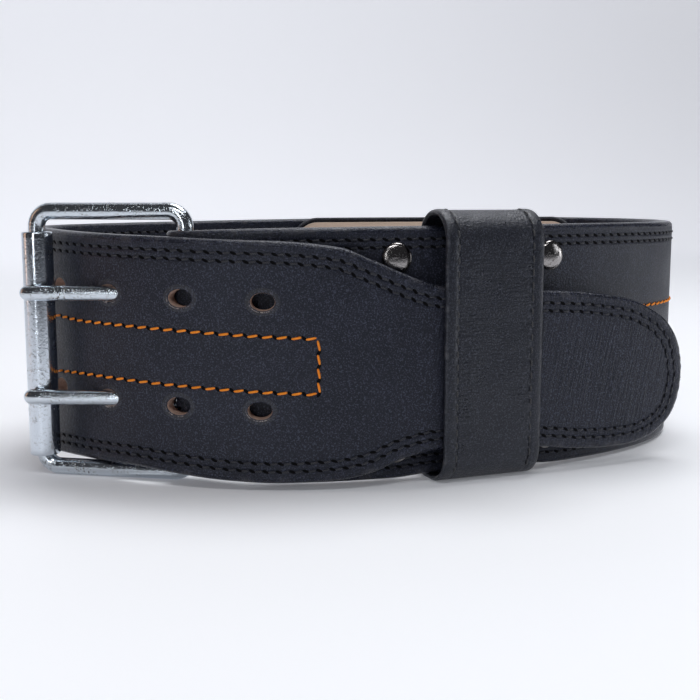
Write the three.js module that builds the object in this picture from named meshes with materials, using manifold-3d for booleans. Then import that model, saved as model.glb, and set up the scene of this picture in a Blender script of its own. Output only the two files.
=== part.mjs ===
// A padded power-lifting belt, fastened and standing on its lower edge. Millimetres, +Z up.
// The front wall runs along X and faces -Y. Seen from above the strap runs counterclockwise.
import * as THREE from 'three';
import { mergeVertices } from 'three/addons/utils/BufferGeometryUtils.js';
import Module from 'manifold-3d';

const wasm = await Module();
wasm.setup();

// Loop of the strap's outer face, seen from above
const LOOP_HALF_LENGTH = 150;
const LOOP_HALF_DEPTH = 87;
const LOOP_SHAPE = [
  { turns: 0, cosine: 1.0126, sine: 0 },
  { turns: 1, cosine: 0.0042, sine: 0.0073 },
  { turns: 2, cosine: -0.0169, sine: -0.0124 },
  { turns: 3, cosine: -0.001, sine: 0.0229 },
  { turns: 4, cosine: -0.0256, sine: -0.0119 },
];
const BUCKLE_ANGLE = -133.35;

// The strap is made as wide as passes the buckle's frame
const FRAME_HEIGHT = 109;
const FRAME_MARGIN = 10.5;
const STRAP_WIDTH = FRAME_HEIGHT - FRAME_MARGIN;

// Space between pieces that lie against each other
const SEAT_GAP = 0.3;

// Strap
const STRAP_THICKNESS = 6;
const STRAP_EDGE_ROUND = 1.7;
const EDGE_ROUND_SHARE = 0.44;
const FOLD_THICKNESS = 3.4;
const FLAP_LENGTH = 172;
const FLAP_GAP = 0.4;
const FLAP_LOW = 0.09;
const FLAP_HIGH = 0.92;
const SKIVE_START = 2;
const SKIVE_LENGTH = 26;
const TAIL_LENGTH = 211.5;
const TAIL_SPRING = 14;

// Buckle
const FRAME_WIRE = 6.6;
const FRAME_REACH = 61.3;
const FRAME_CORNER = 6.2;
const FRAME_SWING = 5;
const BAR_CLEARANCE = 0.4;
const ROLLER_DIAMETER = 12;
const ROLLER_WALL = 2.3;
const ROLLER_ROOM = 3.2;
const ROLLER_DROP = 1.6;
const PRONG_WIRE = 6;
const PRONG_EYE_WALL = 2.9;
const PRONG_SEAT = 2.6;
const PRONG_TIP_REACH = 0.4;
const PRONG_TIP_DROP = 0.4;
const PRONG_LOW = 33.1;
const PRONG_HIGH = 74.1;
const PRONG_CLEARANCE = 0.35;
const PRONG_ROOM = 0.4;

// Holes in the tail
const HOLE_LENGTH = 9;
const HOLE_HEIGHT = 6.9;
const HOLE_PITCH = 30;
const HOLE_COLUMNS = 7;
const HOLE_LAST = 32.5;
const HOLE_ROW_LOW = 31.4;
const HOLE_ROW_HIGH = 72.5;
const HOLE_ROW_TILT = 1.9;
const HOLE_OVERRUN = 0.4;

// Keeper
const KEEPER_WIDTH = 42.6;
const KEEPER_THICKNESS = 2;
const KEEPER_CLEARANCE = 0.3;
const KEEPER_HEADROOM = 3.4;
const KEEPER_AT = 119.8;
const KEEPER_CORNER = 12;
const KEEPER_BACK_CORNER = 6;
const KEEPER_EDGE_ROUND = 0.7;

// Rivets; their rows are shares of the strap's width
const RIVET_HEAD = 12;
const RIVET_DOME = 2.3;
const RIVET_SHANK = 3.6;
const RIVET_WASHER = 9;
const RIVET_WASHER_THICKNESS = 1;
const RIVET_CLEARANCE = 0.3;
const RIVET_BEFORE = 35.8;
const RIVET_AFTER = 32.2;
const RIVET_COLUMNS = [KEEPER_AT - RIVET_BEFORE, KEEPER_AT + RIVET_AFTER];
const RIVET_ROWS = [0.142, 0.518, 0.893];

// Pad on the far wall
const PAD_LENGTH = 165;
const PAD_MARGIN = 3.2;
const PAD_HEIGHT = STRAP_WIDTH - PAD_MARGIN;
const PAD_THICKNESS = 5;
const PAD_CORNER = 14;
const PAD_AT = 425.5;
const PAD_RAISE = 3;
const PIPING_DIAMETER = 1.8;
const PIPING_GAP = 0.7;
const PAD_CORNER_SHARES = [0, 0.03, 0.13, 0.3, 0.55, 1];
const PAD_EVEN_FROM = 1.2;

// The strap's lower and upper edges over its once-round body, as shares of the turn and of the width
const BODY_EDGES = [
  { along: 0, low: 0.083, high: 0.978 },
  { along: 0.016, low: 0.08, high: 0.982 },
  { along: 0.055, low: -0.012, high: 0.988 },
  { along: 0.11, low: -0.01, high: 0.992 },
  { along: 0.13, low: 0, high: 0.993 },
  { along: 0.18, low: 0, high: 0.995 },
  { along: 0.21, low: -0.013, high: 0.997 },
  { along: 0.3, low: -0.012, high: 1 },
  { along: 0.42, low: 0, high: 1.015 },
  { along: 0.5, low: 0, high: 1.023 },
  { along: 0.62, low: 0, high: 1.02 },
  { along: 0.8, low: 0.006, high: 1.002 },
  { along: 0.9, low: 0.035, high: 0.988 },
  { along: 0.94, low: 0.05, high: 0.975 },
  { along: 0.972, low: 0.054, high: 0.965 },
  { along: 1, low: 0.036, high: 0.957 },
];

// The tail's edges, as shares of the tail's length past the buckle bar and of the width
const TAIL_EDGES = [
  { along: 0, low: 0.036, high: 0.957 },
  { along: 0.088, low: 0.017, high: 0.948 },
  { along: 0.183, low: 0.008, high: 0.941 },
  { along: 0.286, low: 0.018, high: 0.918 },
  { along: 0.344, low: 0.042, high: 0.869 },
  { along: 0.403, low: 0.093, high: 0.813 },
  { along: 0.465, low: 0.116, high: 0.768 },
  { along: 0.681, low: 0.09, high: 0.734 },
  { along: 0.759, low: 0.066, high: 0.722 },
  { along: 0.827, low: 0.057, high: 0.702 },
  { along: 0.876, low: 0.059, high: 0.68 },
  { along: 0.926, low: 0.083, high: 0.632 },
  { along: 0.95, low: 0.111, high: 0.597 },
  { along: 0.976, low: 0.16, high: 0.535 },
  { along: 0.99, low: 0.218, high: 0.475 },
  { along: 1, low: 0.312, high: 0.382 },
];

// How the strap leaves the loop's line: out is the share of its own thickness, and gap the space behind
// the tail as a share of the tail's spring
const TAIL_LIFT = [
  { along: -0.95, out: 0, gap: 0 },
  { along: -0.7, out: 0.2, gap: 0.02 },
  { along: -0.43, out: 0.78, gap: 0.05 },
  { along: -0.27, out: 1, gap: 0.06 },
  { along: -0.1, out: 1, gap: 0.05 },
  { along: 0.03, out: 1, gap: 0.055 },
  { along: 0.2, out: 1, gap: 0.14 },
  { along: 0.36, out: 1, gap: 0.24 },
  { along: 0.6, out: 1, gap: 0.27 },
  { along: 0.75, out: 1, gap: 0.36 },
  { along: 0.88, out: 1, gap: 0.62 },
  { along: 1, out: 1, gap: 1 },
];

// Widths between two neighbouring sections, and the sides of round things
const SECTION_STEP = 8;
const ROUND_SIDES = 12;
const CORNER_STEPS = 3;
const TURN_STEPS = 4;
const FOLD_STEPS = 7;
const DOME_STEPS = 3;
const PRONG_STEPS = 6;
const HOLE_STEPS = 6;
const TIP_SHARES = [0.95, 0.965, 0.978, 0.988, 0.995, 1];
const TIP_SPACE = 0.01;
const WELD_DISTANCE = 1e-4;

const leather = new THREE.MeshStandardMaterial({ color: 0x14161a, roughness: 0.5, metalness: 0 });
const steel = new THREE.MeshStandardMaterial({ color: 0xb9bec4, roughness: 0.25, metalness: 1 });
const darkSteel = new THREE.MeshStandardMaterial({ color: 0x6f7276, roughness: 0.2, metalness: 1 });
const suede = new THREE.MeshStandardMaterial({ color: 0xa98c74, roughness: 0.95, metalness: 0 });
const piping = new THREE.MeshStandardMaterial({ color: 0x101113, roughness: 0.55, metalness: 0 });

// Smooth value of one column of a table, between rows ordered by their place along
function tableValue(rows, column, along) {
  const last = rows.length - 1;
  if (along <= rows[0].along) return rows[0][column];
  if (along >= rows[last].along) return rows[last][column];
  const next = rows.findIndex((row) => row.along > along);
  const slope = (a, b) => (rows[b][column] - rows[a][column]) / (rows[b].along - rows[a].along);
  const start = rows[next - 1];
  const end = rows[next];
  const step = end.along - start.along;
  const middle = slope(next - 1, next);
  const before = next > 1 ? slope(next - 2, next - 1) : middle;
  const after = next < last ? slope(next, next + 1) : middle;
  const gentle = (a, b) => (a * b > 0 ? (2 * a * b) / (a + b) : 0);
  const startSlope = gentle(before, middle) * step;
  const endSlope = gentle(middle, after) * step;
  const t = (along - start.along) / step;
  const rise = end[column] - start[column];
  return start[column] + startSlope * t + (3 * rise - 2 * startSlope - endSlope) * t * t
    + (startSlope + endSlope - 2 * rise) * t * t * t;
}

// Point of the loop's outer face at an angle: an ellipse whose radius swells a little in waves
function loopPoint(angle) {
  let swell = 0;
  for (const wave of LOOP_SHAPE) {
    swell += wave.cosine * Math.cos(wave.turns * angle) + wave.sine * Math.sin(wave.turns * angle);
  }
  return new THREE.Vector2(
    LOOP_HALF_LENGTH * swell * Math.cos(angle),
    LOOP_HALF_DEPTH * swell * Math.sin(angle),
  );
}

// The loop measured by its length, starting at the buckle's bar
const LOOP_SAMPLES = 2880;
const SLOPE_SAMPLES = 4;
const loopPoints = [];
const loopLengths = [0];
for (let i = 0; i <= LOOP_SAMPLES; i += 1) {
  const angle = THREE.MathUtils.degToRad(BUCKLE_ANGLE) + (i / LOOP_SAMPLES) * 2 * Math.PI;
  loopPoints.push(loopPoint(angle));
  if (i > 0) loopLengths.push(loopLengths[i - 1] + loopPoints[i].distanceTo(loopPoints[i - 1]));
}
const LOOP_LENGTH = loopLengths[LOOP_SAMPLES];

// Place on the loop at a length past the bar, with the directions along and outward
function wallAt(length) {
  const wrapped = ((length % LOOP_LENGTH) + LOOP_LENGTH) % LOOP_LENGTH;
  let low = 0;
  let high = LOOP_SAMPLES;
  while (high - low > 1) {
    const middle = (low + high) >> 1;
    if (loopLengths[middle] <= wrapped) low = middle;
    else high = middle;
  }
  const share = (wrapped - loopLengths[low]) / (loopLengths[high] - loopLengths[low]);
  const before = loopPoints[(low - SLOPE_SAMPLES + LOOP_SAMPLES) % LOOP_SAMPLES];
  const after = loopPoints[(high + SLOPE_SAMPLES) % LOOP_SAMPLES];
  const along = after.clone().sub(before).normalize();
  return {
    point: loopPoints[low].clone().lerp(loopPoints[high], share),
    along,
    outward: new THREE.Vector2(along.y, -along.x),
  };
}

function offsetPoint(wall, outwardBy) {
  return wall.point.clone().addScaledVector(wall.outward, outwardBy);
}

// The front stands on the keeper and the buckle, the back on the strap's own edge
const FRONT_RAISE = KEEPER_THICKNESS + KEEPER_CLEARANCE;
function restHeight(y) {
  const share = THREE.MathUtils.clamp((LOOP_HALF_DEPTH - y) / (2 * LOOP_HALF_DEPTH), 0, 1);
  return FRONT_RAISE * share;
}

// Closed body through rings of equally many points, each running counterclockwise as seen looking along
// the run; a closed run joins its last ring to its first
function loft(rings, closedRun = false) {
  const sides = rings[0].length;
  const positions = rings.flat().flatMap((point) => [point.x, point.y, point.z]);
  const faces = [];
  const runs = closedRun ? rings.length : rings.length - 1;
  for (let i = 0; i < runs; i += 1) {
    const here = i * sides;
    const there = ((i + 1) % rings.length) * sides;
    for (let j = 0; j < sides; j += 1) {
      const next = (j + 1) % sides;
      faces.push(here + j, there + j, there + next, here + j, there + next, here + next);
    }
  }
  if (!closedRun) {
    const end = (rings.length - 1) * sides;
    for (let j = 1; j < sides - 1; j += 1) {
      faces.push(0, j, j + 1);
      faces.push(end, end + j + 1, end + j);
    }
  }
  const geometry = new THREE.BufferGeometry();
  geometry.setAttribute('position', new THREE.Float32BufferAttribute(positions, 3));
  geometry.setIndex(faces);
  return geometry;
}

// Upright section of a flat band: thickness along the across direction, rounded edges
function bandRing(centre, across, thickness, low, high, round) {
  const ring = [];
  const corners = [
    [1, low + round, -90],
    [1, high - round, 0],
    [-1, high - round, 90],
    [-1, low + round, 180],
  ];
  for (const [side, height, startAngle] of corners) {
    for (let k = 0; k < CORNER_STEPS; k += 1) {
      const turn = THREE.MathUtils.degToRad(startAngle + (90 * k) / (CORNER_STEPS - 1));
      const outBy = side * (thickness / 2 - round) + round * Math.cos(turn);
      const place = centre.clone().addScaledVector(across, outBy);
      ring.push(new THREE.Vector3(place.x, place.y, height + round * Math.sin(turn)));
    }
  }
  return ring;
}

function toSolid(geometry) {
  const bare = geometry.index ? geometry.clone() : geometry;
  bare.deleteAttribute('normal');
  bare.deleteAttribute('uv');
  const merged = mergeVertices(bare, WELD_DISTANCE);
  return new wasm.Manifold(new wasm.Mesh({
    numProp: 3,
    vertProperties: new Float32Array(merged.attributes.position.array),
    triVerts: new Uint32Array(merged.index.array),
  }));
}

function fromSolid(solid) {
  const mesh = solid.getMesh();
  const geometry = new THREE.BufferGeometry();
  geometry.setAttribute('position', new THREE.BufferAttribute(new Float32Array(mesh.vertProperties), 3));
  geometry.setIndex(new THREE.BufferAttribute(new Uint32Array(mesh.triVerts), 1));
  return geometry;
}

function named(name, geometry, material) {
  const mesh = new THREE.Mesh(geometry, material);
  mesh.name = name;
  return mesh;
}

// Round tube through points, closed at both ends
function rod(points, diameter, steps) {
  const section = new THREE.Shape();
  section.absarc(0, 0, diameter / 2, 0, 2 * Math.PI, false);
  return new THREE.ExtrudeGeometry(section, {
    steps,
    extrudePath: new THREE.CatmullRomCurve3(points, false, 'centripetal'),
    curveSegments: ROUND_SIDES / 2,
    bevelEnabled: false,
  });
}

// Closed round tube through points that all lie on one face; each point knows that face's normal
function closedTube(points, diameter) {
  const rings = points.map(({ place, face }, i) => {
    const before = points[(i + points.length - 1) % points.length].place;
    const after = points[(i + 1) % points.length].place;
    const travel = after.clone().sub(before).normalize();
    const right = travel.clone().cross(face).normalize();
    const up = right.clone().cross(travel);
    const ring = [];
    for (let k = 0; k < ROUND_SIDES; k += 1) {
      const turn = (2 * Math.PI * k) / ROUND_SIDES;
      const point = place.clone().addScaledVector(right, (diameter / 2) * Math.cos(turn));
      ring.push(point.addScaledVector(up, (diameter / 2) * Math.sin(turn)));
    }
    return ring;
  });
  return loft(rings, true);
}

// Outline of a rectangle with a radius for each corner, counterclockwise from its lower right one; sides
// over the longest step are cut in equal pieces
function roundedRectangle(left, bottom, right, top, corners, longest) {
  const [lowRight, highRight, highLeft, lowLeft] = corners;
  const arcs = [
    [right - lowRight, bottom + lowRight, lowRight, -90],
    [right - highRight, top - highRight, highRight, 0],
    [left + highLeft, top - highLeft, highLeft, 90],
    [left + lowLeft, bottom + lowLeft, lowLeft, 180],
  ];
  const outline = arcs.flatMap(([x, y, radius, startAngle]) => Array.from(
    { length: TURN_STEPS + 1 },
    (unused, k) => {
      const turn = THREE.MathUtils.degToRad(startAngle + (90 * k) / TURN_STEPS);
      return new THREE.Vector2(x + radius * Math.cos(turn), y + radius * Math.sin(turn));
    },
  ));
  return outline.flatMap((point, i) => {
    const next = outline[(i + 1) % outline.length];
    const pieces = Math.max(1, Math.round(point.distanceTo(next) / longest));
    return Array.from({ length: pieces }, (unused, k) => point.clone().lerp(next, k / pieces));
  });
}

// The buckle's bar lies in the fold, the roller at the frame's free end
const BAR_INSET = FRAME_WIRE / 2 + BAR_CLEARANCE + FOLD_THICKNESS;
const FOLD_RADIUS = FRAME_WIRE / 2 + BAR_CLEARANCE + FOLD_THICKNESS / 2;
const FLAP_INSET = STRAP_THICKNESS + FLAP_GAP + FOLD_THICKNESS;
const barWall = wallAt(0);
const barCentre = offsetPoint(barWall, -BAR_INSET);
const frameDirection = barWall.along.clone().negate()
  .rotateAround(new THREE.Vector2(), THREE.MathUtils.degToRad(FRAME_SWING));
const frameOutward = new THREE.Vector2(-frameDirection.y, frameDirection.x);
const rollerCentre = barCentre.clone().addScaledVector(frameDirection, FRAME_REACH);

// Gap behind the tail, and how far its inner face stands out from the loop's line
function tailGap(length) {
  return TAIL_SPRING * tableValue(TAIL_LIFT, 'gap', length / TAIL_LENGTH);
}

function tailMiddle(length) {
  const out = tableValue(TAIL_LIFT, 'out', length / TAIL_LENGTH);
  return tailGap(length) + (out - 0.5) * STRAP_THICKNESS;
}

function bodyEdges(share) {
  return {
    low: tableValue(BODY_EDGES, 'low', share) * STRAP_WIDTH,
    high: tableValue(BODY_EDGES, 'high', share) * STRAP_WIDTH,
  };
}

// The thin flap runs back behind the front wall, from its end to the bar
function flapSections() {
  const steps = Math.round(FLAP_LENGTH / SECTION_STEP);
  return Array.from({ length: steps }, (unused, i) => {
    const length = FLAP_LENGTH * (1 - i / steps);
    const wall = wallAt(length);
    const settle = THREE.MathUtils.smoothstep(length, 0, SKIVE_LENGTH);
    const inset = THREE.MathUtils.lerp(BAR_INSET + FOLD_RADIUS, FLAP_INSET - FOLD_THICKNESS / 2, settle);
    const { low, high } = bodyEdges(0);
    return {
      centre: offsetPoint(wall, -inset),
      across: wall.outward.clone().negate(),
      thickness: FOLD_THICKNESS,
      low: THREE.MathUtils.lerp(low, FLAP_LOW * STRAP_WIDTH, settle),
      high: THREE.MathUtils.lerp(high, FLAP_HIGH * STRAP_WIDTH, settle),
    };
  });
}

// Half a turn round the bar, from its inner to its outer side
function foldSections() {
  return Array.from({ length: FOLD_STEPS + 1 }, (unused, i) => {
    const radial = barWall.outward.clone().negate()
      .rotateAround(new THREE.Vector2(), (Math.PI * i) / FOLD_STEPS);
    return {
      centre: barCentre.clone().addScaledVector(radial, FOLD_RADIUS),
      across: radial,
      thickness: FOLD_THICKNESS,
      ...bodyEdges(0),
    };
  });
}

// Once round the waist; on its way back to the buckle the strap moves out to pass in front of itself
function bodySections() {
  const steps = Math.round(LOOP_LENGTH / SECTION_STEP);
  return Array.from({ length: steps }, (unused, i) => {
    const length = ((i + 1) / steps) * LOOP_LENGTH;
    const wall = wallAt(length);
    const settle = THREE.MathUtils.smoothstep(length, SKIVE_START, SKIVE_LENGTH);
    const thickness = THREE.MathUtils.lerp(FOLD_THICKNESS, STRAP_THICKNESS, settle);
    const thinner = (STRAP_THICKNESS - thickness) / 2;
    return {
      centre: offsetPoint(wall, tailMiddle(length - LOOP_LENGTH) + thinner),
      across: wall.outward,
      thickness,
      ...bodyEdges(length / LOOP_LENGTH),
    };
  });
}

function tailSections() {
  const steps = Math.round(TAIL_LENGTH / SECTION_STEP);
  const even = Array.from({ length: steps - 2 }, (unused, i) => (i + 1) / steps)
    .filter((share) => share < TIP_SHARES[0] - TIP_SPACE);
  return [...even, ...TIP_SHARES].map((share) => {
    const wall = wallAt(share * TAIL_LENGTH);
    return {
      centre: offsetPoint(wall, tailMiddle(share * TAIL_LENGTH)),
      across: wall.outward,
      thickness: STRAP_THICKNESS,
      low: tableValue(TAIL_EDGES, 'low', share) * STRAP_WIDTH,
      high: tableValue(TAIL_EDGES, 'high', share) * STRAP_WIDTH,
    };
  });
}

// Puts a shape on the wall: its own Z axis outward, its own X axis along the wall
function placeOnWall(geometry, length, outBy, height) {
  const wall = wallAt(length);
  const place = offsetPoint(wall, outBy);
  const basis = new THREE.Matrix4().makeBasis(
    new THREE.Vector3(wall.along.x, wall.along.y, 0),
    new THREE.Vector3(0, 0, 1),
    new THREE.Vector3(wall.outward.x, wall.outward.y, 0),
  );
  basis.setPosition(place.x, place.y, height);
  return geometry.applyMatrix4(basis);
}

function upright(diameter, height) {
  return new THREE.CylinderGeometry(diameter / 2, diameter / 2, height, ROUND_SIDES).rotateX(Math.PI / 2);
}

// Cutter of one belt hole: an oval, a little deeper than the tail
function beltHole() {
  const shape = new THREE.Shape();
  shape.absellipse(0, 0, HOLE_LENGTH / 2, HOLE_HEIGHT / 2, 0, 2 * Math.PI, false, 0);
  const depth = STRAP_THICKNESS + 2 * HOLE_OVERRUN;
  const cutter = new THREE.ExtrudeGeometry(shape, { depth, curveSegments: HOLE_STEPS, bevelEnabled: false });
  return cutter.translate(0, 0, -depth / 2);
}

// Cutter of one rivet hole through body and flap
function rivetHole() {
  const reach = FLAP_INSET + 2 * RIVET_CLEARANCE;
  const cutter = new THREE.CylinderGeometry(
    RIVET_SHANK / 2 + RIVET_CLEARANCE,
    RIVET_SHANK / 2 + RIVET_CLEARANCE,
    reach + RIVET_CLEARANCE,
    ROUND_SIDES,
  );
  return cutter.rotateX(Math.PI / 2).translate(0, 0, (RIVET_CLEARANCE - reach) / 2);
}

// Line of a prong's shank: from its eye on the bar, through the tail, to the roller's outer side
function prongPoints(height) {
  const start = barCentre.clone().addScaledVector(frameOutward, PRONG_SEAT);
  const restOut = (ROLLER_DIAMETER + PRONG_WIRE) / 2 + PRONG_CLEARANCE;
  const rest = rollerCentre.clone().addScaledVector(frameOutward, restOut);
  const line = rest.clone().sub(start);
  const tip = rest.clone().addScaledVector(frameDirection, PRONG_TIP_REACH);
  tip.addScaledVector(frameOutward, -PRONG_TIP_DROP);
  return [start, start.clone().addScaledVector(line, 0.5), rest, tip]
    .map((point) => new THREE.Vector3(point.x, point.y, height));
}

const EYE_BORE = FRAME_WIRE + 2 * PRONG_CLEARANCE;

function buildStrap() {
  const sections = [...flapSections(), ...foldSections(), ...bodySections(), ...tailSections()];
  const rings = sections.map(({ centre, across, thickness, low, high }) => {
    const base = restHeight(centre.y);
    const round = Math.min(STRAP_EDGE_ROUND, EDGE_ROUND_SHARE * thickness);
    return bandRing(centre, across, thickness, base + low, base + high, round);
  });
  let solid = toSolid(loft(rings));
  const cutters = [];
  const rowRise = Math.tan(THREE.MathUtils.degToRad(HOLE_ROW_TILT));
  const rowMiddle = (HOLE_ROW_LOW + HOLE_ROW_HIGH) / 2;
  for (const row of [HOLE_ROW_LOW, HOLE_ROW_HIGH]) {
    for (let column = 0; column < HOLE_COLUMNS; column += 1) {
      const fromLast = column * HOLE_PITCH;
      const length = HOLE_LAST - fromLast + (row - rowMiddle) * rowRise;
      const height = row + fromLast * rowRise;
      cutters.push(placeOnWall(beltHole(), length, tailMiddle(length), height));
    }
  }
  for (const height of [PRONG_LOW, PRONG_HIGH]) {
    const slot = upright(2 * (BAR_INSET + SEAT_GAP), PRONG_WIRE + 2 * PRONG_ROOM);
    cutters.push(slot.translate(barCentre.x, barCentre.y, height));
    const [start, , rest] = prongPoints(height);
    cutters.push(rod([start, rest], PRONG_WIRE + 2 * PRONG_ROOM, 1));
  }
  for (const column of RIVET_COLUMNS) {
    for (const row of RIVET_ROWS) {
      cutters.push(placeOnWall(rivetHole(), column, 0, row * STRAP_WIDTH));
    }
  }
  for (const cutter of cutters) solid = solid.subtract(toSolid(cutter));
  return fromSolid(solid);
}

// Closed ring of round wire, standing upright between the bar and the roller
function buildFrame() {
  const low = FRAME_WIRE / 2;
  const corners = new Array(4).fill(FRAME_CORNER);
  const outline = roundedRectangle(0, low, FRAME_REACH, FRAME_HEIGHT - low, corners, FRAME_HEIGHT);
  const face = new THREE.Vector3(-frameOutward.x, -frameOutward.y, 0);
  const points = outline.map((point) => {
    const plan = barCentre.clone().addScaledVector(frameDirection, point.x);
    return { place: new THREE.Vector3(plan.x, plan.y, point.y), face };
  });
  return closedTube(points, FRAME_WIRE);
}

function buildRoller() {
  const inner = ROLLER_DIAMETER / 2 - ROLLER_WALL;
  const outer = ROLLER_DIAMETER / 2;
  const half = FRAME_HEIGHT / 2 - FRAME_WIRE - ROLLER_ROOM;
  const profile = [[inner, -half], [outer, -half], [outer, half], [inner, half], [inner, -half]]
    .map(([radius, height]) => new THREE.Vector2(radius, height));
  const sleeve = new THREE.LatheGeometry(profile, 2 * ROUND_SIDES).rotateX(Math.PI / 2);
  return sleeve.translate(rollerCentre.x, rollerCentre.y, FRAME_HEIGHT / 2 - ROLLER_DROP);
}

// Round prong with an eye that turns on the frame's bar and a rounded tip past the roller
function buildProng(height) {
  const points = prongPoints(height);
  const tip = points[points.length - 1];
  const eye = upright(EYE_BORE + 2 * PRONG_EYE_WALL, PRONG_WIRE).translate(barCentre.x, barCentre.y, height);
  const bore = upright(EYE_BORE, 2 * PRONG_WIRE).translate(barCentre.x, barCentre.y, height);
  const end = new THREE.SphereGeometry(PRONG_WIRE / 2, ROUND_SIDES, ROUND_SIDES / 2);
  const shank = toSolid(rod(points, PRONG_WIRE, PRONG_STEPS));
  const solid = shank.add(toSolid(eye)).add(toSolid(end.translate(tip.x, tip.y, tip.z)));
  return fromSolid(solid.subtract(toSolid(bore)));
}

// How far the layers inside the keeper reach inward and outward, measured across its own width
function keeperReach() {
  const wall = wallAt(KEEPER_AT);
  const across = (length, outBy) => offsetPoint(wallAt(length), outBy).sub(wall.point).dot(wall.outward);
  const lengths = [-0.5, -0.25, 0, 0.25, 0.5].map((share) => KEEPER_AT + share * KEEPER_WIDTH);
  const outer = lengths.map((length) => across(length, tailMiddle(length) + STRAP_THICKNESS / 2));
  const inner = lengths.map((length) => across(length, -FLAP_INSET));
  return { inner: Math.min(...inner), outer: Math.max(...outer) };
}

// Flat closed band round body, flap and tail
function buildKeeper() {
  const reach = keeperReach();
  const left = reach.inner - KEEPER_CLEARANCE;
  const right = reach.outer + KEEPER_CLEARANCE;
  const bottom = KEEPER_THICKNESS;
  const top = FRONT_RAISE + STRAP_WIDTH + KEEPER_HEADROOM;
  const bevel = KEEPER_EDGE_ROUND;
  const grow = KEEPER_THICKNESS - bevel;
  const outer = [KEEPER_CORNER, KEEPER_CORNER, KEEPER_CORNER, KEEPER_BACK_CORNER];
  const outerCorners = outer.map((corner) => corner - bevel);
  const innerCorners = outer.map((corner) => corner - grow);
  const shape = new THREE.Shape(roundedRectangle(
    left - grow, bottom - grow, right + grow, top + grow, outerCorners, top,
  ));
  shape.holes.push(new THREE.Path(roundedRectangle(
    left - bevel, bottom - bevel, right + bevel, top + bevel, innerCorners, top,
  ).reverse()));
  const band = new THREE.ExtrudeGeometry(shape, {
    depth: KEEPER_WIDTH - 2 * bevel,
    bevelEnabled: true,
    bevelThickness: bevel,
    bevelSize: bevel,
    bevelSegments: 2,
  });
  band.translate(0, 0, bevel - KEEPER_WIDTH / 2);
  const wall = wallAt(KEEPER_AT);
  const basis = new THREE.Matrix4().makeBasis(
    new THREE.Vector3(wall.outward.x, wall.outward.y, 0),
    new THREE.Vector3(0, 0, 1),
    new THREE.Vector3(-wall.along.x, -wall.along.y, 0),
  );
  basis.setPosition(wall.point.x, wall.point.y, 0);
  return band.applyMatrix4(basis);
}

// Dome outside, shank through body and flap, flat washer inside
function buildRivet(length, height) {
  const head = RIVET_HEAD / 2;
  const shank = RIVET_SHANK / 2;
  const washerTop = -(FLAP_INSET + 2 * RIVET_CLEARANCE);
  const washerBottom = washerTop - RIVET_WASHER_THICKNESS;
  const profile = [
    [0, washerBottom],
    [RIVET_WASHER / 2, washerBottom],
    [RIVET_WASHER / 2, washerTop],
    [shank, washerTop],
    [shank, 0],
  ];
  for (let k = 0; k <= DOME_STEPS; k += 1) {
    const turn = (Math.PI / 2) * (k / DOME_STEPS);
    profile.push([k === DOME_STEPS ? 0 : head * Math.cos(turn), RIVET_DOME * Math.sin(turn)]);
  }
  const points = profile.map(([radius, along]) => new THREE.Vector2(radius, along));
  const rivet = new THREE.LatheGeometry(points, ROUND_SIDES).rotateX(Math.PI / 2);
  return placeOnWall(rivet, length, RIVET_CLEARANCE, height);
}

// Soft pad with rounded corners, lying on the far wall's inner face
function buildPad() {
  const steps = Math.round(PAD_LENGTH / SECTION_STEP);
  const cornerShares = PAD_CORNER_SHARES.map((share) => (share * PAD_CORNER) / PAD_LENGTH);
  const evenFrom = PAD_EVEN_FROM * PAD_CORNER;
  const middle = Array.from({ length: steps }, (unused, i) => i / steps)
    .filter((share) => share * PAD_LENGTH > evenFrom && (1 - share) * PAD_LENGTH > evenFrom);
  const shares = [...cornerShares, ...middle, ...cornerShares.map((share) => 1 - share).reverse()];
  const outBy = -(STRAP_THICKNESS + SEAT_GAP + PAD_THICKNESS / 2);
  const rings = shares.map((share) => {
    const wall = wallAt(PAD_AT + (share - 0.5) * PAD_LENGTH);
    const centre = offsetPoint(wall, outBy);
    const inCorner = Math.max(0, PAD_CORNER - Math.min(share, 1 - share) * PAD_LENGTH);
    const cut = PAD_CORNER - Math.sqrt(PAD_CORNER ** 2 - inCorner ** 2);
    const base = restHeight(centre.y) + PAD_RAISE;
    const round = EDGE_ROUND_SHARE * PAD_THICKNESS;
    return bandRing(centre, wall.outward, PAD_THICKNESS, base + cut, base + PAD_HEIGHT - cut, round);
  });
  return loft(rings);
}

// Cord that follows the pad's outline on the wall
function buildPiping() {
  const side = PAD_LENGTH / 2 + PIPING_GAP + PIPING_DIAMETER / 2;
  const edge = PIPING_GAP + PIPING_DIAMETER / 2;
  const corners = new Array(4).fill(PAD_CORNER + edge);
  const outline = roundedRectangle(-side, -edge, side, PAD_HEIGHT + edge, corners, 2 * SECTION_STEP);
  const outBy = -(STRAP_THICKNESS + SEAT_GAP + PIPING_DIAMETER / 2);
  const points = outline.map((point) => {
    const wall = wallAt(PAD_AT + point.x);
    const plan = offsetPoint(wall, outBy);
    const height = restHeight(plan.y) + PAD_RAISE + point.y;
    return {
      place: new THREE.Vector3(plan.x, plan.y, height),
      face: new THREE.Vector3(wall.outward.x, wall.outward.y, 0),
    };
  });
  return closedTube(points, PIPING_DIAMETER);
}

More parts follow.
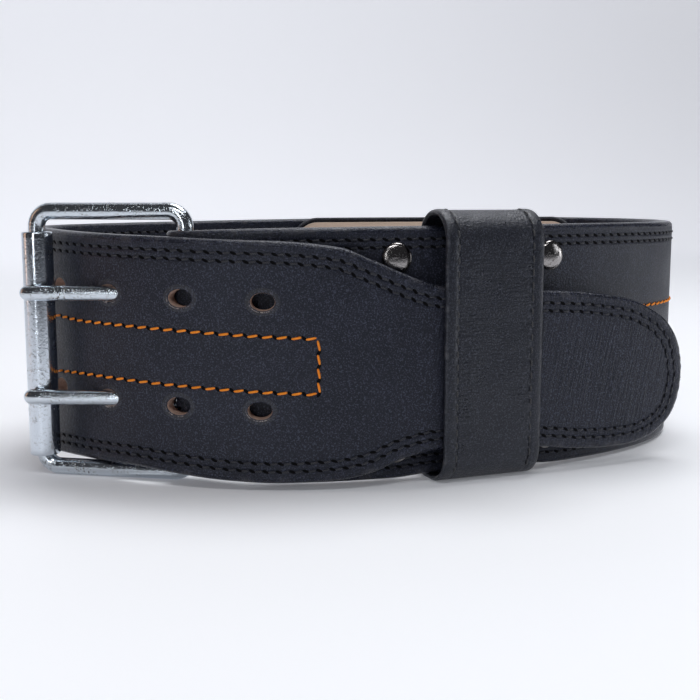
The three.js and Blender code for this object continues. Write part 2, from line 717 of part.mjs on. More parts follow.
const belt = new THREE.Group();
belt.add(named('belt_strap', buildStrap(), leather));
belt.add(named('buckle_frame', buildFrame(), steel));
belt.add(named('roller', buildRoller(), steel));
belt.add(named('prong_lower', buildProng(PRONG_LOW), steel));
belt.add(named('prong_upper', buildProng(PRONG_HIGH), steel));
belt.add(named('keeper_loop', buildKeeper(), leather));
RIVET_COLUMNS.forEach((column, i) => {
  RIVET_ROWS.forEach((row, j) => {
    const name = `rivet_${i * RIVET_ROWS.length + j + 1}`;
    belt.add(named(name, buildRivet(column, row * STRAP_WIDTH), darkSteel));
  });
});
belt.add(named('back_pad', buildPad(), suede));
belt.add(named('pad_piping', buildPiping(), piping));

// The origin lies on the surface below the middle of the whole belt
const box = new THREE.Box3().setFromObject(belt);
const middle = box.getCenter(new THREE.Vector3());
belt.position.set(-middle.x, -middle.y, -box.min.z);

export default belt;
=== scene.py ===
"""Looks of a padded power-lifting belt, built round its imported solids.

Sizes are millimetres in the plan that the solids use. The strap is one band measured by its run, which is
0 at the buckle's bar, LOOP_LENGTH once it has gone round the waist, and more along the tail.
"""

import math

import bpy
import numpy as np
from mathutils import Euler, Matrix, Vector, kdtree


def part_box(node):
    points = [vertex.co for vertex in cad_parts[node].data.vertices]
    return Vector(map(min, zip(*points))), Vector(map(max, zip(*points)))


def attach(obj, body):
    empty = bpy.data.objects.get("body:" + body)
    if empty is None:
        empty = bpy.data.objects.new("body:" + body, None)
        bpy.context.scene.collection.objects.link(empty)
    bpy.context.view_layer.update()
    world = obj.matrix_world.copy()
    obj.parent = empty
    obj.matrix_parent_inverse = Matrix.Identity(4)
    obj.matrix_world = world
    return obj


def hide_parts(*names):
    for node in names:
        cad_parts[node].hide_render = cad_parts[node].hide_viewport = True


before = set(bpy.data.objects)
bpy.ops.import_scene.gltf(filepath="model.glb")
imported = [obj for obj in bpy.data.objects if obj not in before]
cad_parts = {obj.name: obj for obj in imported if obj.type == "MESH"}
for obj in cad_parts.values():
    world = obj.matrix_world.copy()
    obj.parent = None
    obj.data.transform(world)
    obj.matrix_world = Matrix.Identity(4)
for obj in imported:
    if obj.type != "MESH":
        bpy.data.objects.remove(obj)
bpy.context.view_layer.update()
MM = 0.001


def table(columns, *rows):
    """Columns of a short table by name."""
    return dict(zip(columns.split(), np.array(rows, float).T))


# Loop of the strap's outer face, seen from above
LOOP_HALF_LENGTH = 150
LOOP_HALF_DEPTH = 87
LOOP_SHAPE = table(
    "turns cosine sine",
    (0, 1.0126, 0),
    (1, 0.0042, 0.0073),
    (2, -0.0169, -0.0124),
    (3, -0.001, 0.0229),
    (4, -0.0256, -0.0119),
)
BUCKLE_ANGLE = -133.35
LOOP_SAMPLES = 2880

# Strap
STRAP_WIDTH = 98.5
STRAP_THICKNESS = 6
STRAP_EDGE_ROUND = 2.3
EDGE_ROUND_SHARE = 0.44
FOLD_THICKNESS = 3.4
FLAP_LENGTH = 172
FLAP_GAP = 0.4
FLAP_LOW = 0.09
FLAP_HIGH = 0.92
SKIVE_START = 2
SKIVE_LENGTH = 26
TAIL_LENGTH = 211.5
TAIL_SPRING = 14
FRONT_RAISE = 2.3
SEAT_GAP = 0.3

# Buckle
FRAME_WIRE = 6.6
FRAME_HEIGHT = 109
FRAME_REACH = 61.3
FRAME_CORNER = 6.2
FRAME_SWING = 5
BAR_CLEARANCE = 0.4
ROLLER_DIAMETER = 12
ROLLER_WALL = 2.3
ROLLER_ROOM = 3.2
ROLLER_DROP = 1.6
ROLLER_LIP = 0.7
PRONG_WIRE = 6
PRONG_EYE_WALL = 2.9
PRONG_SEAT = 2.6
PRONG_TIP_REACH = 0.4
PRONG_TIP_DROP = 0.4
PRONG_HEIGHTS = {"prong_lower": 33.1, "prong_upper": 74.1}
PRONG_CLEARANCE = 0.35
PRONG_ROOM = 0.4

# Holes in the tail
HOLE_LENGTH = 9
HOLE_HEIGHT = 6.9
HOLE_PITCH = 30
HOLE_COLUMNS = 7
HOLE_LAST = 32.5
HOLE_ROWS = (31.4, 72.5)
HOLE_ROW_TILT = 1.9

# Keeper
KEEPER_WIDTH = 42.6
KEEPER_THICKNESS = 2
KEEPER_CLEARANCE = 0.3
KEEPER_HEADROOM = 3.4
KEEPER_AT = 119.8
KEEPER_CORNER = 12
KEEPER_BACK_CORNER = 6
KEEPER_EDGE_ROUND = 0.95
KEEPER_ROW = 5
KEEPER_HEM = 0.35
KEEPER_WAVE = 0.12

# Rivets
RIVET_HEAD = 12
RIVET_DOME = 2.3
RIVET_SHANK = 3.6
RIVET_WASHER = 9
RIVET_WASHER_THICKNESS = 1
RIVET_CLEARANCE = 0.3
RIVET_COLUMNS = (KEEPER_AT - 35.8, KEEPER_AT + 32.2)
RIVET_ROWS = (0.142, 0.518, 0.893)

# Pad on the far wall
PAD_LENGTH = 165
PAD_HEIGHT = 95.3
PAD_THICKNESS = 5
PAD_CORNER = 14
PAD_AT = 425.5
PAD_RAISE = 3
PAD_EDGE = 1.6
PAD_SHOULDER = 16
PAD_PUFF = 1.5
PIPING_DIAMETER = 1.8
PIPING_GAP = 0.7

# Sewn rows: how far in from the strap's edge, and the length of one stitch
EDGE_ROWS = (4.9, 8)
EDGE_PITCH = 4.85
THREAD_PITCH = 5.2
THREAD_END = 53
KEEPER_PITCH = 5

# Stitches: a thread's length, width, rise and lean, then the length, height and lean of its needle slot's
# painted shade
EDGE_STITCH, EDGE_SLOT = (3.2, 0.85, 0.22, 8), (2.7, 1.15, -22)
COLOURED_STITCH, COLOURED_SLOT = (4.5, 0.95, 0.4, 12), (2.5, 1.3, -38)
KEEPER_STITCH, KEEPER_SLOT = (3.6, 0.9, 0.15, 4), (2.4, 1.0, 10)
SLOT_LIFT = 0.06
THREAD_RINGS = 7
THREAD_SIDES = 6
SLOT_SIDES = 10

# Two coloured rows run either side of this middle line
THREAD_ROWS = table(
    "along middle half",
    (0, 52, 12),
    (0.9, 52, 12),
    (0.954, 52, 10.5),
    (1.0693, 48.2, 10.5),
    (1.3, 44, 10.5),
)

# The strap's lower and upper edges over its once-round body, as shares of the turn and of the width
BODY_EDGES = table(
    "along low high",
    (0, 0.083, 0.978),
    (0.016, 0.08, 0.982),
    (0.055, -0.012, 0.988),
    (0.11, -0.01, 0.992),
    (0.13, 0, 0.993),
    (0.18, 0, 0.995),
    (0.21, -0.013, 0.997),
    (0.3, -0.012, 1),
    (0.42, 0, 1.015),
    (0.5, 0, 1.023),
    (0.62, 0, 1.02),
    (0.8, 0.006, 1.002),
    (0.9, 0.035, 0.988),
    (0.94, 0.05, 0.975),
    (0.972, 0.054, 0.965),
    (1, 0.036, 0.957),
)

# The tail's edges, as shares of the tail's length past the buckle bar and of the width
TAIL_EDGES = table(
    "along low high",
    (0, 0.036, 0.957),
    (0.088, 0.017, 0.948),
    (0.183, 0.008, 0.941),
    (0.286, 0.018, 0.918),
    (0.344, 0.042, 0.869),
    (0.403, 0.093, 0.813),
    (0.465, 0.116, 0.768),
    (0.681, 0.09, 0.734),
    (0.759, 0.066, 0.722),
    (0.827, 0.057, 0.702),
    (0.876, 0.059, 0.68),
    (0.926, 0.083, 0.632),
    (0.95, 0.111, 0.597),
    (0.976, 0.16, 0.535),
    (0.99, 0.218, 0.475),
    (1, 0.312, 0.382),
    (1.0015, 0.344, 0.35),
)
TAIL_TIP = 1.0015

# How the strap leaves the loop's line: out is the share of its thickness, gap the share of the spring
TAIL_LIFT = table(
    "along out gap",
    (-0.95, 0, 0),
    (-0.7, 0.2, 0.02),
    (-0.43, 0.78, 0.05),
    (-0.27, 1, 0.06),
    (-0.1, 1, 0.05),
    (0.03, 1, 0.055),
    (0.2, 1, 0.14),
    (0.36, 1, 0.24),
    (0.6, 1, 0.27),
    (0.75, 1, 0.36),
    (0.88, 1, 0.62),
    (1, 1, 1),
)

# Fineness of the made surfaces
BODY_STEP = 1.6
TAIL_STEP = 1.1
FLAP_STEP = 2.5
TIP_ZONE = 19
TIP_STEPS = 40
FOLD_STEPS = 16
EDGE_STEPS = np.array([0, 0.08, 0.3, 0.65, 1.1, 1.65, 2.3, 3.4, 4.9, 6.4, 8, 9.5, 12])
FACE_STEPS = 14
ROUND_SIDES = 28
HOLE_SIDES = 32
PRONG_STEPS = 60


def table_value(rows, column, along):
    """Smooth value of a table's column: cubic between rows, with slopes that never overshoot."""
    places = rows["along"]
    values = rows[column]
    steps = np.diff(places)
    slopes = np.diff(values) / steps
    product = slopes[:-1] * slopes[1:]
    total = slopes[:-1] + slopes[1:]
    inner = np.where(product > 0, 2 * product / np.where(total == 0, 1, total), 0)
    knots = np.concatenate([slopes[:1], inner, slopes[-1:]])
    place = np.clip(along, places[0], places[-1])
    i = np.clip(np.searchsorted(places, place, side="right") - 1, 0, len(steps) - 1)
    t = (place - places[i]) / steps[i]
    start = knots[i] * steps[i]
    end = knots[i + 1] * steps[i]
    rise = values[i + 1] - values[i]
    return values[i] + start * t + (3 * rise - 2 * start - end) * t**2 + (start + end - 2 * rise) * t**3


def smooth_step(value, low, high):
    t = np.clip((value - low) / (high - low), 0, 1)
    return t * t * (3 - 2 * t)


def mix(first, second, share):
    return first + (second - first) * share


def unit(vectors):
    return vectors / np.linalg.norm(vectors, axis=-1, keepdims=True)


def interpolate(where, places, values):
    """Linear values of several columns at once."""
    return np.stack([np.interp(where, places, values[:, i]) for i in range(values.shape[1])], -1)


def measured(path):
    """Length from the start of a path to each of its points."""
    steps = np.linalg.norm(np.diff(path, axis=0), axis=1)
    return np.concatenate([[0], np.cumsum(steps)])


def turned(vector, angle):
    """A plan vector turned by each of several angles."""
    cosine, sine = np.cos(angle), np.sin(angle)
    return np.stack([vector[0] * cosine - vector[1] * sine, vector[0] * sine + vector[1] * cosine], -1)


def in_space(plan, height):
    """Plan points or directions with a height."""
    return np.concatenate([plan, np.broadcast_to(height, plan.shape[:-1])[..., None]], -1)


def loop_line():
    """The loop as points, its length at each, and its direction: an ellipse that swells in waves."""
    angle = math.radians(BUCKLE_ANGLE) + np.linspace(0, 2 * math.pi, LOOP_SAMPLES + 1)
    waves = LOOP_SHAPE["turns"][:, None] * angle
    swell = LOOP_SHAPE["cosine"] @ np.cos(waves) + LOOP_SHAPE["sine"] @ np.sin(waves)
    radii = np.array([LOOP_HALF_LENGTH, LOOP_HALF_DEPTH])
    points = swell[:, None] * radii * np.stack([np.cos(angle), np.sin(angle)], 1)
    return points, measured(points), unit(np.gradient(points, axis=0))


loop_points, loop_run, loop_along = loop_line()
LOOP_LENGTH = loop_run[-1]


def wall_at(run):
    """Point of the loop's line at a run, with its directions along and outward."""
    wrapped = np.mod(run, LOOP_LENGTH)
    point = interpolate(wrapped, loop_run, loop_points)
    along = unit(interpolate(wrapped, loop_run, loop_along))
    outward = np.stack([along[..., 1], -along[..., 0]], -1)
    return point, along, outward


def rest_height(plan_y):
    """The front stands on the keeper and the buckle, the back on the strap's own edge."""
    return FRONT_RAISE * np.clip((LOOP_HALF_DEPTH - plan_y) / (2 * LOOP_HALF_DEPTH), 0, 1)


# The buckle's bar lies in the fold, the roller at the frame's free end
BAR_INSET = FRAME_WIRE / 2 + BAR_CLEARANCE + FOLD_THICKNESS
FOLD_RADIUS = FRAME_WIRE / 2 + BAR_CLEARANCE + FOLD_THICKNESS / 2
FLAP_INSET = STRAP_THICKNESS + FLAP_GAP + FOLD_THICKNESS
bar_point, bar_along, bar_outward = (value[0] for value in wall_at(np.zeros(1)))
bar_centre = bar_point - bar_outward * BAR_INSET
frame_direction = turned(-bar_along, math.radians(FRAME_SWING))
frame_outward = np.array([-frame_direction[1], frame_direction[0]])
roller_centre = bar_centre + frame_direction * FRAME_REACH


def plan_shift():
    """From the plan's origin to the frame's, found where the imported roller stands."""
    low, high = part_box("roller")
    found = (np.array(low) + np.array(high))[:2] / 2 / MM
    return np.append(found - roller_centre, 0)


SHIFT = plan_shift()


def tail_middle(run):
    """How far the strap's middle stands out from the loop's line, at a run past the bar."""
    share = run / TAIL_LENGTH
    out = table_value(TAIL_LIFT, "out", share)
    return TAIL_SPRING * table_value(TAIL_LIFT, "gap", share) + (out - 0.5) * STRAP_THICKNESS


def band_edges(run):
    """Lower and upper edge of the strap over its body and tail."""
    on_tail = run > LOOP_LENGTH
    edges = []
    for column in ("low", "high"):
        body = table_value(BODY_EDGES, column, run / LOOP_LENGTH)
        tail = table_value(TAIL_EDGES, column, (run - LOOP_LENGTH) / TAIL_LENGTH)
        edges.append(np.where(on_tail, tail, body) * STRAP_WIDTH)
    return edges


def band_sections():
    """Body and tail of the strap: run, middle line, outward direction, thickness and edges."""
    body = np.linspace(0, LOOP_LENGTH, round(LOOP_LENGTH / BODY_STEP))[1:]
    end = TAIL_TIP * TAIL_LENGTH
    plain = np.linspace(0, end - TIP_ZONE, round((end - TIP_ZONE) / TAIL_STEP))[1:]
    tip = end - TIP_ZONE + TIP_ZONE * np.sin(np.linspace(0, math.pi / 2, TIP_STEPS + 1)[1:])
    run = np.concatenate([body, LOOP_LENGTH + plain, LOOP_LENGTH + tip])
    point, along, outward = wall_at(run)
    thickness = mix(FOLD_THICKNESS, STRAP_THICKNESS, smooth_step(run, SKIVE_START, SKIVE_LENGTH))
    middle = tail_middle(run - LOOP_LENGTH) + (STRAP_THICKNESS - thickness) / 2
    low, high = band_edges(run)
    return run, point + outward * middle[:, None], outward, thickness, low, high


band_run, band_centre, band_outward, band_thickness, band_low, band_high = band_sections()


def on_strap(run, height, out):
    """Points at a run along the strap, a height, and a distance out from the strap's middle."""
    centre = interpolate(run, band_run, band_centre)
    outward = unit(interpolate(run, band_run, band_outward))
    return in_space(centre + outward * np.asarray(out)[..., None], height)


def strap_axes(run, heading):
    """Directions on the strap's outer face: along a heading in that face, and outward."""
    outward = unit(interpolate(run, band_run, band_outward))
    along = np.stack([-outward[..., 1], outward[..., 0]], -1)
    travel = in_space(along * heading[..., :1], heading[..., 1])
    return unit(travel), in_space(outward, 0)


def rest_of_run(run):
    return rest_height(np.interp(run, band_run, band_centre[:, 1]))


def flap_sections():
    """The thin flap that runs back behind the front wall to the bar."""
    run = np.linspace(FLAP_LENGTH, 0, round(FLAP_LENGTH / FLAP_STEP), endpoint=False)
    point, along, outward = wall_at(run)
    settle = smooth_step(run, 0, SKIVE_LENGTH)
    inset = mix(BAR_INSET + FOLD_RADIUS, FLAP_INSET - FOLD_THICKNESS / 2, settle)
    low, high = band_edges(np.zeros_like(run))
    thin = np.sqrt(np.clip((FLAP_LENGTH - run + 0.2) / (2 * FLAP_STEP), 0, 1))
    return (
        -run,
        point - outward * inset[:, None],
        -outward,
        FOLD_THICKNESS * thin,
        mix(low, FLAP_LOW * STRAP_WIDTH, settle),
        mix(high, FLAP_HIGH * STRAP_WIDTH, settle),
    )


def fold_sections():
    """Half a turn round the bar, from its inner to its outer side."""
    turn = np.linspace(0, math.pi, FOLD_STEPS)
    radial = turned(-bar_outward, turn)
    low, high = band_edges(np.zeros_like(turn))
    return 0 * turn, bar_centre + radial * FOLD_RADIUS, radial, 0 * turn + FOLD_THICKNESS, low, high


def section_heights(low, high):
    """Heights across each section, close together near both edges."""
    room = np.minimum(1, (high - low) / 2 / (EDGE_STEPS[-1] + 1))[:, None]
    near = EDGE_STEPS * room
    inner_low = low[:, None] + near[:, -1:]
    inner_high = high[:, None] - near[:, -1:]
    shares = np.linspace(0, 1, FACE_STEPS + 2)[1:-1]
    return np.concatenate(
        [low[:, None] + near, mix(inner_low, inner_high, shares), high[:, None] - near[:, ::-1]], 1
    )


def outline_distance(run, height, low, high):
    """Distance from each point of a band, laid flat, to the band's outline."""
    plain = np.minimum(height - low[:, None], high[:, None] - height)
    outline = np.concatenate([np.stack([run, low], 1), np.stack([run, high], 1)])
    places = np.stack([np.broadcast_to(run[:, None], height.shape), height], -1)
    nearest = [
        np.sqrt(((row[:, None] - outline[None]) ** 2).sum(-1)).min(1) for row in places
    ]
    return np.maximum(0, np.minimum(plain, np.array(nearest)))


def there_and_back(values):
    """Values across one face of a flat piece and back over its other face."""
    return np.concatenate([values, values[:, ::-1]], 1)


def rounded_out(distance, thickness, largest):
    """Half thickness at a distance from the edge, where the edge is rounded."""
    rounding = np.minimum(largest, EDGE_ROUND_SHARE * thickness)[:, None]
    into = rounding - np.minimum(distance, rounding)
    return thickness[:, None] / 2 - rounding + np.sqrt(np.maximum(0, rounding**2 - into**2))


def grid_faces(rows, columns, close_rows=False, close_columns=True):
    """Quads of a grid of points that lie row by row."""
    i = np.arange(rows if close_rows else rows - 1)[:, None]
    j = np.arange(columns if close_columns else columns - 1)[None, :]
    here, there = i * columns, ((i + 1) % rows) * columns
    after = (j + 1) % columns
    return np.stack([here + j, there + j, there + after, here + after], -1).reshape(-1, 4)


def many_grids(count, rows, columns, **closing):
    """Quads of many equal grids, one after the other."""
    one = grid_faces(rows, columns, **closing)
    return (np.arange(count)[:, None, None] * rows * columns + one).reshape(-1, 4)


def outward_faces(points, faces):
    """Faces of a closed surface, turned round if they look inward."""
    corners = points[faces[:, :3]]
    volume = np.einsum("ij,ij->", corners[:, 0], np.cross(corners[:, 1], corners[:, 2]))
    return faces[:, ::-1] if volume < 0 else faces


def make_mesh(name, points, faces, caps=(), attributes=None):
    """A smooth mesh object from millimetre points in the plan, in metres in the frame."""
    mesh = bpy.data.meshes.new(name)
    places = (np.asarray(points).reshape(-1, 3) + SHIFT) * MM
    mesh.from_pydata(places.tolist(), [], faces.tolist() + [list(cap) for cap in caps])
    for label, values in (attributes or {}).items():
        store = mesh.attributes.new(label, "FLOAT", "POINT")
        store.data.foreach_set("value", np.asarray(values, np.float32).ravel())
    mesh.shade_smooth()
    piece = bpy.data.objects.new(name, mesh)
    bpy.context.scene.collection.objects.link(piece)
    return piece


def closed_rows(name, points, close_rows=False, attributes=None):
    """A closed surface through rows of points, each row a ring; open ends are capped."""
    rows, columns = points.shape[:2]
    flat = points.reshape(-1, 3)
    faces = grid_faces(rows, columns, close_rows)
    fitted = outward_faces(flat, faces)
    caps = []
    if not close_rows:
        first = list(range(columns))
        last = list(range((rows - 1) * columns, rows * columns))
        same = fitted[0][0] == faces[0][0]
        caps = [first[::-1], last] if not same else [first, last[::-1]]
    return make_mesh(name, flat, fitted, caps, attributes)


def place_on_wall(points, run, out, height):
    """Puts a shape on the loop's wall: its Z axis outward and its X axis along."""
    point, along, outward = (value[0] for value in wall_at(np.array([float(run)])))
    axes = np.array([in_space(along, 0), [0, 0, 1], in_space(outward, 0)])
    return points @ axes + in_space(point + outward * out, height)


def lathe(profile, sides):
    """Rings of a profile of radius and height turned about the Z axis."""
    turn = 2 * math.pi * np.arange(sides) / sides
    circle = np.stack([np.cos(turn), np.sin(turn)], 1)
    profile = np.asarray(profile, float)
    rings = profile[:, None, :1] * circle[None]
    return in_space(rings, profile[:, None, 1])


def tube_rings(points, radius, face, sides=ROUND_SIDES, closed=False):
    """Rings round a line of points; face is each point's direction away from what it lies on."""
    if closed:
        travel = unit(np.roll(points, -1, axis=0) - np.roll(points, 1, axis=0))
    else:
        travel = unit(np.gradient(points, axis=0))
    right = unit(np.cross(travel, face))
    above = np.cross(right, travel)
    turn = 2 * math.pi * np.arange(sides) / sides
    around = right[:, None] * np.cos(turn)[:, None] + above[:, None] * np.sin(turn)[:, None]
    return points[:, None] + around * np.broadcast_to(radius, len(points))[:, None, None]


def rounded_rectangle(left, bottom, right, top, radii, spacing):
    """Closed outline with a radius for each corner from the lower right one, and its outward normals."""
    low_right, high_right, high_left, low_left = radii
    corners = [
        (right - low_right, bottom + low_right, low_right, -90),
        (right - high_right, top - high_right, high_right, 0),
        (left + high_left, top - high_left, high_left, 90),
        (left + low_left, bottom + low_left, low_left, 180),
    ]
    points, normals = [], []
    for i, (x, y, radius, start) in enumerate(corners):
        steps = max(3, math.ceil(radius * math.pi / 2 / spacing))
        turn = np.radians(start + 90 * np.arange(steps + 1) / steps)
        normal = np.stack([np.cos(turn), np.sin(turn)], 1)
        arc = np.array([x, y]) + radius * normal
        next_x, next_y, next_radius, next_start = corners[(i + 1) % 4]
        next_turn = math.radians(next_start)
        next_normal = np.array([math.cos(next_turn), math.sin(next_turn)])
        meet = np.array([next_x, next_y]) + next_radius * next_normal
        pieces = max(1, round(np.linalg.norm(meet - arc[-1]) / spacing))
        side = mix(arc[-1], meet, (np.arange(1, pieces) / pieces)[:, None])
        points += [arc, side]
        normals += [normal, np.broadcast_to(normal[-1], side.shape)]
    return np.concatenate(points), np.concatenate(normals)


def cut_away(piece, cutter):
    """Cuts one closed mesh out of another and keeps the result as the piece's own mesh."""
    modifier = piece.modifiers.new("cut", "BOOLEAN")
    modifier.operation = "DIFFERENCE"
    modifier.solver = "MANIFOLD"
    modifier.object = cutter
    bpy.context.view_layer.update()
    graph = bpy.context.evaluated_depsgraph_get()
    mesh = bpy.data.meshes.new_from_object(piece.evaluated_get(graph))
    piece.modifiers.clear()
    piece.data = mesh
    bpy.data.objects.remove(cutter)


def joined_rows(name, blocks, ringed=()):
    """One mesh of several row surfaces: the ringed ones close on themselves, the others have caps."""
    pieces = [closed_rows(f"{name}_{i}", block, i in ringed) for i, block in enumerate(blocks)]
    with bpy.context.temp_override(
        active_object=pieces[0], object=pieces[0], selected_objects=pieces, selected_editable_objects=pieces
    ):
        bpy.ops.object.join()
    pieces[0].name = name
    return pieces[0]


def hole_places():
    """Run and height of each punched hole; the rows fall along the tail and the columns lean with them."""
    rise = math.tan(math.radians(HOLE_ROW_TILT))
    middle = sum(HOLE_ROWS) / len(HOLE_ROWS)
    return [
        (
            LOOP_LENGTH + HOLE_LAST - column * HOLE_PITCH + (row - middle) * rise,
            row + column * HOLE_PITCH * rise,
        )
        for row in HOLE_ROWS
        for column in range(HOLE_COLUMNS)
    ]


def slot_outline(turn, grow):
    """An oval hole, grown outward: distances along and up for each turn."""
    return (HOLE_LENGTH / 2 + grow) * np.cos(turn), (HOLE_HEIGHT / 2 + grow) * np.sin(turn)


def prong_line(height):
    """The prong's middle line: straight from the bar through the tail to the roller, then a short tip."""
    start = bar_centre + frame_outward * PRONG_SEAT
    rest_out = (ROLLER_DIAMETER + PRONG_WIRE) / 2 + PRONG_CLEARANCE
    rest = roller_centre + frame_outward * rest_out
    tip = rest + frame_direction * PRONG_TIP_REACH - frame_outward * PRONG_TIP_DROP
    return in_space(np.array([start, rest, tip]), height)


def hole_cutters():
    turn = 2 * math.pi * (np.arange(HOLE_SIDES) + 0.5) / HOLE_SIDES
    along, up = slot_outline(turn, 0)
    reach = STRAP_THICKNESS / 2 + 1
    return [
        np.array([on_strap(run + along, height + up, np.full(HOLE_SIDES, out)) for out in (-reach, reach)])
        for run, height in hole_places()
    ]


def rivet_cutters():
    profile = [(RIVET_SHANK / 2 + RIVET_CLEARANCE, out) for out in (-FLAP_INSET - 1, 1)]
    ring = lathe(profile, 16)
    return [
        place_on_wall(ring, column, 0, row * STRAP_WIDTH) for column in RIVET_COLUMNS for row in RIVET_ROWS
    ]


def fold_slot_cutters():
    half = PRONG_WIRE / 2 + PRONG_ROOM
    ring = lathe([(BAR_INSET + SEAT_GAP, -half), (BAR_INSET + SEAT_GAP, half)], 48)
    return [ring + in_space(bar_centre, height) for height in PRONG_HEIGHTS.values()]


def prong_cutters():
    blocks = []
    for height in PRONG_HEIGHTS.values():
        line = prong_line(height)[:2]
        blocks.append(tube_rings(line, PRONG_WIRE / 2 + PRONG_ROOM, np.array([0, 0, 1.0]), 24))
    return blocks


def fit_attributes(piece, old_places, attributes):
    """Gives each corner of a cut mesh the values of the nearest corner it had before the cut."""
    tree = kdtree.KDTree(len(old_places))
    for i, place in enumerate(old_places):
        tree.insert(place, i)
    tree.balance()
    mesh = piece.data
    nearest = np.array([tree.find(vertex.co)[1] for vertex in mesh.vertices])
    for label, values in attributes.items():
        store = mesh.attributes.get(label) or mesh.attributes.new(label, "FLOAT", "POINT")
        store.data.foreach_set("value", values.ravel()[nearest].astype(np.float32))


def thread_middle(run):
    return table_value(THREAD_ROWS, "middle", run / LOOP_LENGTH)


def build_strap():
    """Flap, fold, body and tail as one skin: rings of a flat section with round edges along the run."""
    parts = zip(
        flap_sections(),
        fold_sections(),
        (band_run, band_centre, band_outward, band_thickness, band_low, band_high),
    )
    run, centre, across, thickness, low, high = (np.concatenate(part) for part in parts)
    height = section_heights(low, high)
    band = run > 0
    distance = np.minimum(height - low[:, None], high[:, None] - height)
    distance[band] = outline_distance(run[band], height[band], low[band], high[band])
    out = rounded_out(distance, thickness, STRAP_EDGE_ROUND)
    level = height + rest_height(centre[:, 1])[:, None]
    faces = [
        in_space(centre[:, None] + across[:, None] * (side * out)[..., None], level) for side in (1, -1)
    ]
    rings = np.concatenate([faces[0], faces[1][:, ::-1]], 1)
    along = np.broadcast_to(run[:, None], height.shape)
    attributes = {
        "edge_distance": there_and_back(distance),
        "along": there_and_back(along),
        "from_middle": there_and_back(level - thread_middle(np.maximum(along, 0))),
    }
    strap = closed_rows("strap_leather_band", rings, attributes=attributes)
    before = [vertex.co.copy() for vertex in strap.data.vertices]
    cut_away(strap, joined_rows("cutters", hole_cutters() + rivet_cutters() + fold_slot_cutters()))
    cut_away(strap, joined_rows("cutters", prong_cutters()))
    fit_attributes(strap, before, attributes)
    strap.data.set_sharp_from_angle(angle=math.radians(50))
    return strap


# Rolled lip and raw wall of a hole: how far out from the cut, and the depth as a share of half the strap
HOLE_LIP = table(
    "grow out",
    (2.1, 0.985),
    (1.7, 1.008),
    (1.2, 1.03),
    (0.7, 1.035),
    (0.3, 1),
    (0.05, 0.93),
    (-0.1, 0.8),
    (-0.15, 0.5),
    (-0.15, 0),
    (-0.15, -0.6),
    (-0.1, -0.85),
    (0.2, -1),
    (0.8, -1.02),
    (1.6, -0.985),
)
HOLE_TURNS = 56


def sleeve_points(run, height, turn):
    """Skin of one hole: its outline swept down the lip's profile."""
    grow, depth = HOLE_LIP["grow"][:, None], HOLE_LIP["out"][:, None] * STRAP_THICKNESS / 2
    along, up = slot_outline(turn[None], grow)
    return on_strap(run + along, height + up, np.broadcast_to(depth, along.shape))


def build_hole_sleeves():
    """The lips and raw walls of the tail's holes, as open skins whose ends sink into the leather."""
    turn = 2 * math.pi * (np.arange(HOLE_TURNS) + 0.5) / HOLE_TURNS
    grids = [sleeve_points(run, height, turn) for run, height in hole_places()]
    rows = len(HOLE_LIP["grow"])
    faces = many_grids(len(grids), rows, HOLE_TURNS)
    inward = np.broadcast_to(np.arange(rows)[:, None] / (rows - 1), (rows, HOLE_TURNS))
    below = np.broadcast_to(-np.sin(turn + 0.4)[None], (rows, HOLE_TURNS))
    attributes = {
        "inward": np.tile(inward.ravel(), len(grids)),
        "below": np.tile(below.ravel(), len(grids)),
    }
    return make_mesh("tail_hole_rims", np.array(grids), faces, attributes=attributes)


def edge_path(inside):
    """Line at a distance inside the strap's outline, from the fold round the tip and back."""
    first = SKIVE_LENGTH
    run = np.concatenate([np.arange(first, LOOP_LENGTH, 2), band_run[band_run > LOOP_LENGTH]])
    low, high = band_edges(run)
    path = np.concatenate([np.stack([run, low], 1), np.stack([run, high], 1)[::-1]])
    even = np.linspace(0, 1, len(path) * 2) * measured(path)[-1]
    path = interpolate(even, measured(path), path)
    heading = unit(np.gradient(path, axis=0))
    return path + inside * np.stack([-heading[:, 1], heading[:, 0]], 1)


def sewn_places(path, pitch, share):
    """Even places along a path on the flat strap, a share of a stitch in, and the path's heading there."""
    length = measured(path)
    count = max(1, round(length[-1] / pitch))
    pitch = length[-1] / count
    where = (np.arange(count) + share) * pitch
    place = interpolate(where, length, path)
    before = interpolate(np.maximum(where - pitch / 4, 0), length, path)
    ahead = interpolate(np.maximum(where, pitch / 4) + pitch / 4, length, path)
    return place, unit(ahead - before)


def on_face(place, heading, side, lift):
    """Points, travel and outward directions of sewn places on the strap's outer or inner face."""
    run, height = place[:, 0], place[:, 1] + rest_of_run(place[:, 0])
    thickness = np.interp(run, band_run, band_thickness)
    points = on_strap(run, height, side * (thickness / 2 + lift))
    travel, outward = strap_axes(run, heading)
    return points, travel, side * outward


def leaning(travel, normal, slant):
    """Directions along and across a stitch that leans by an angle in its surface."""
    across = np.cross(normal, travel)
    cosine, sine = math.cos(math.radians(slant)), math.sin(math.radians(slant))
    return cosine * travel + sine * across, cosine * across - sine * travel


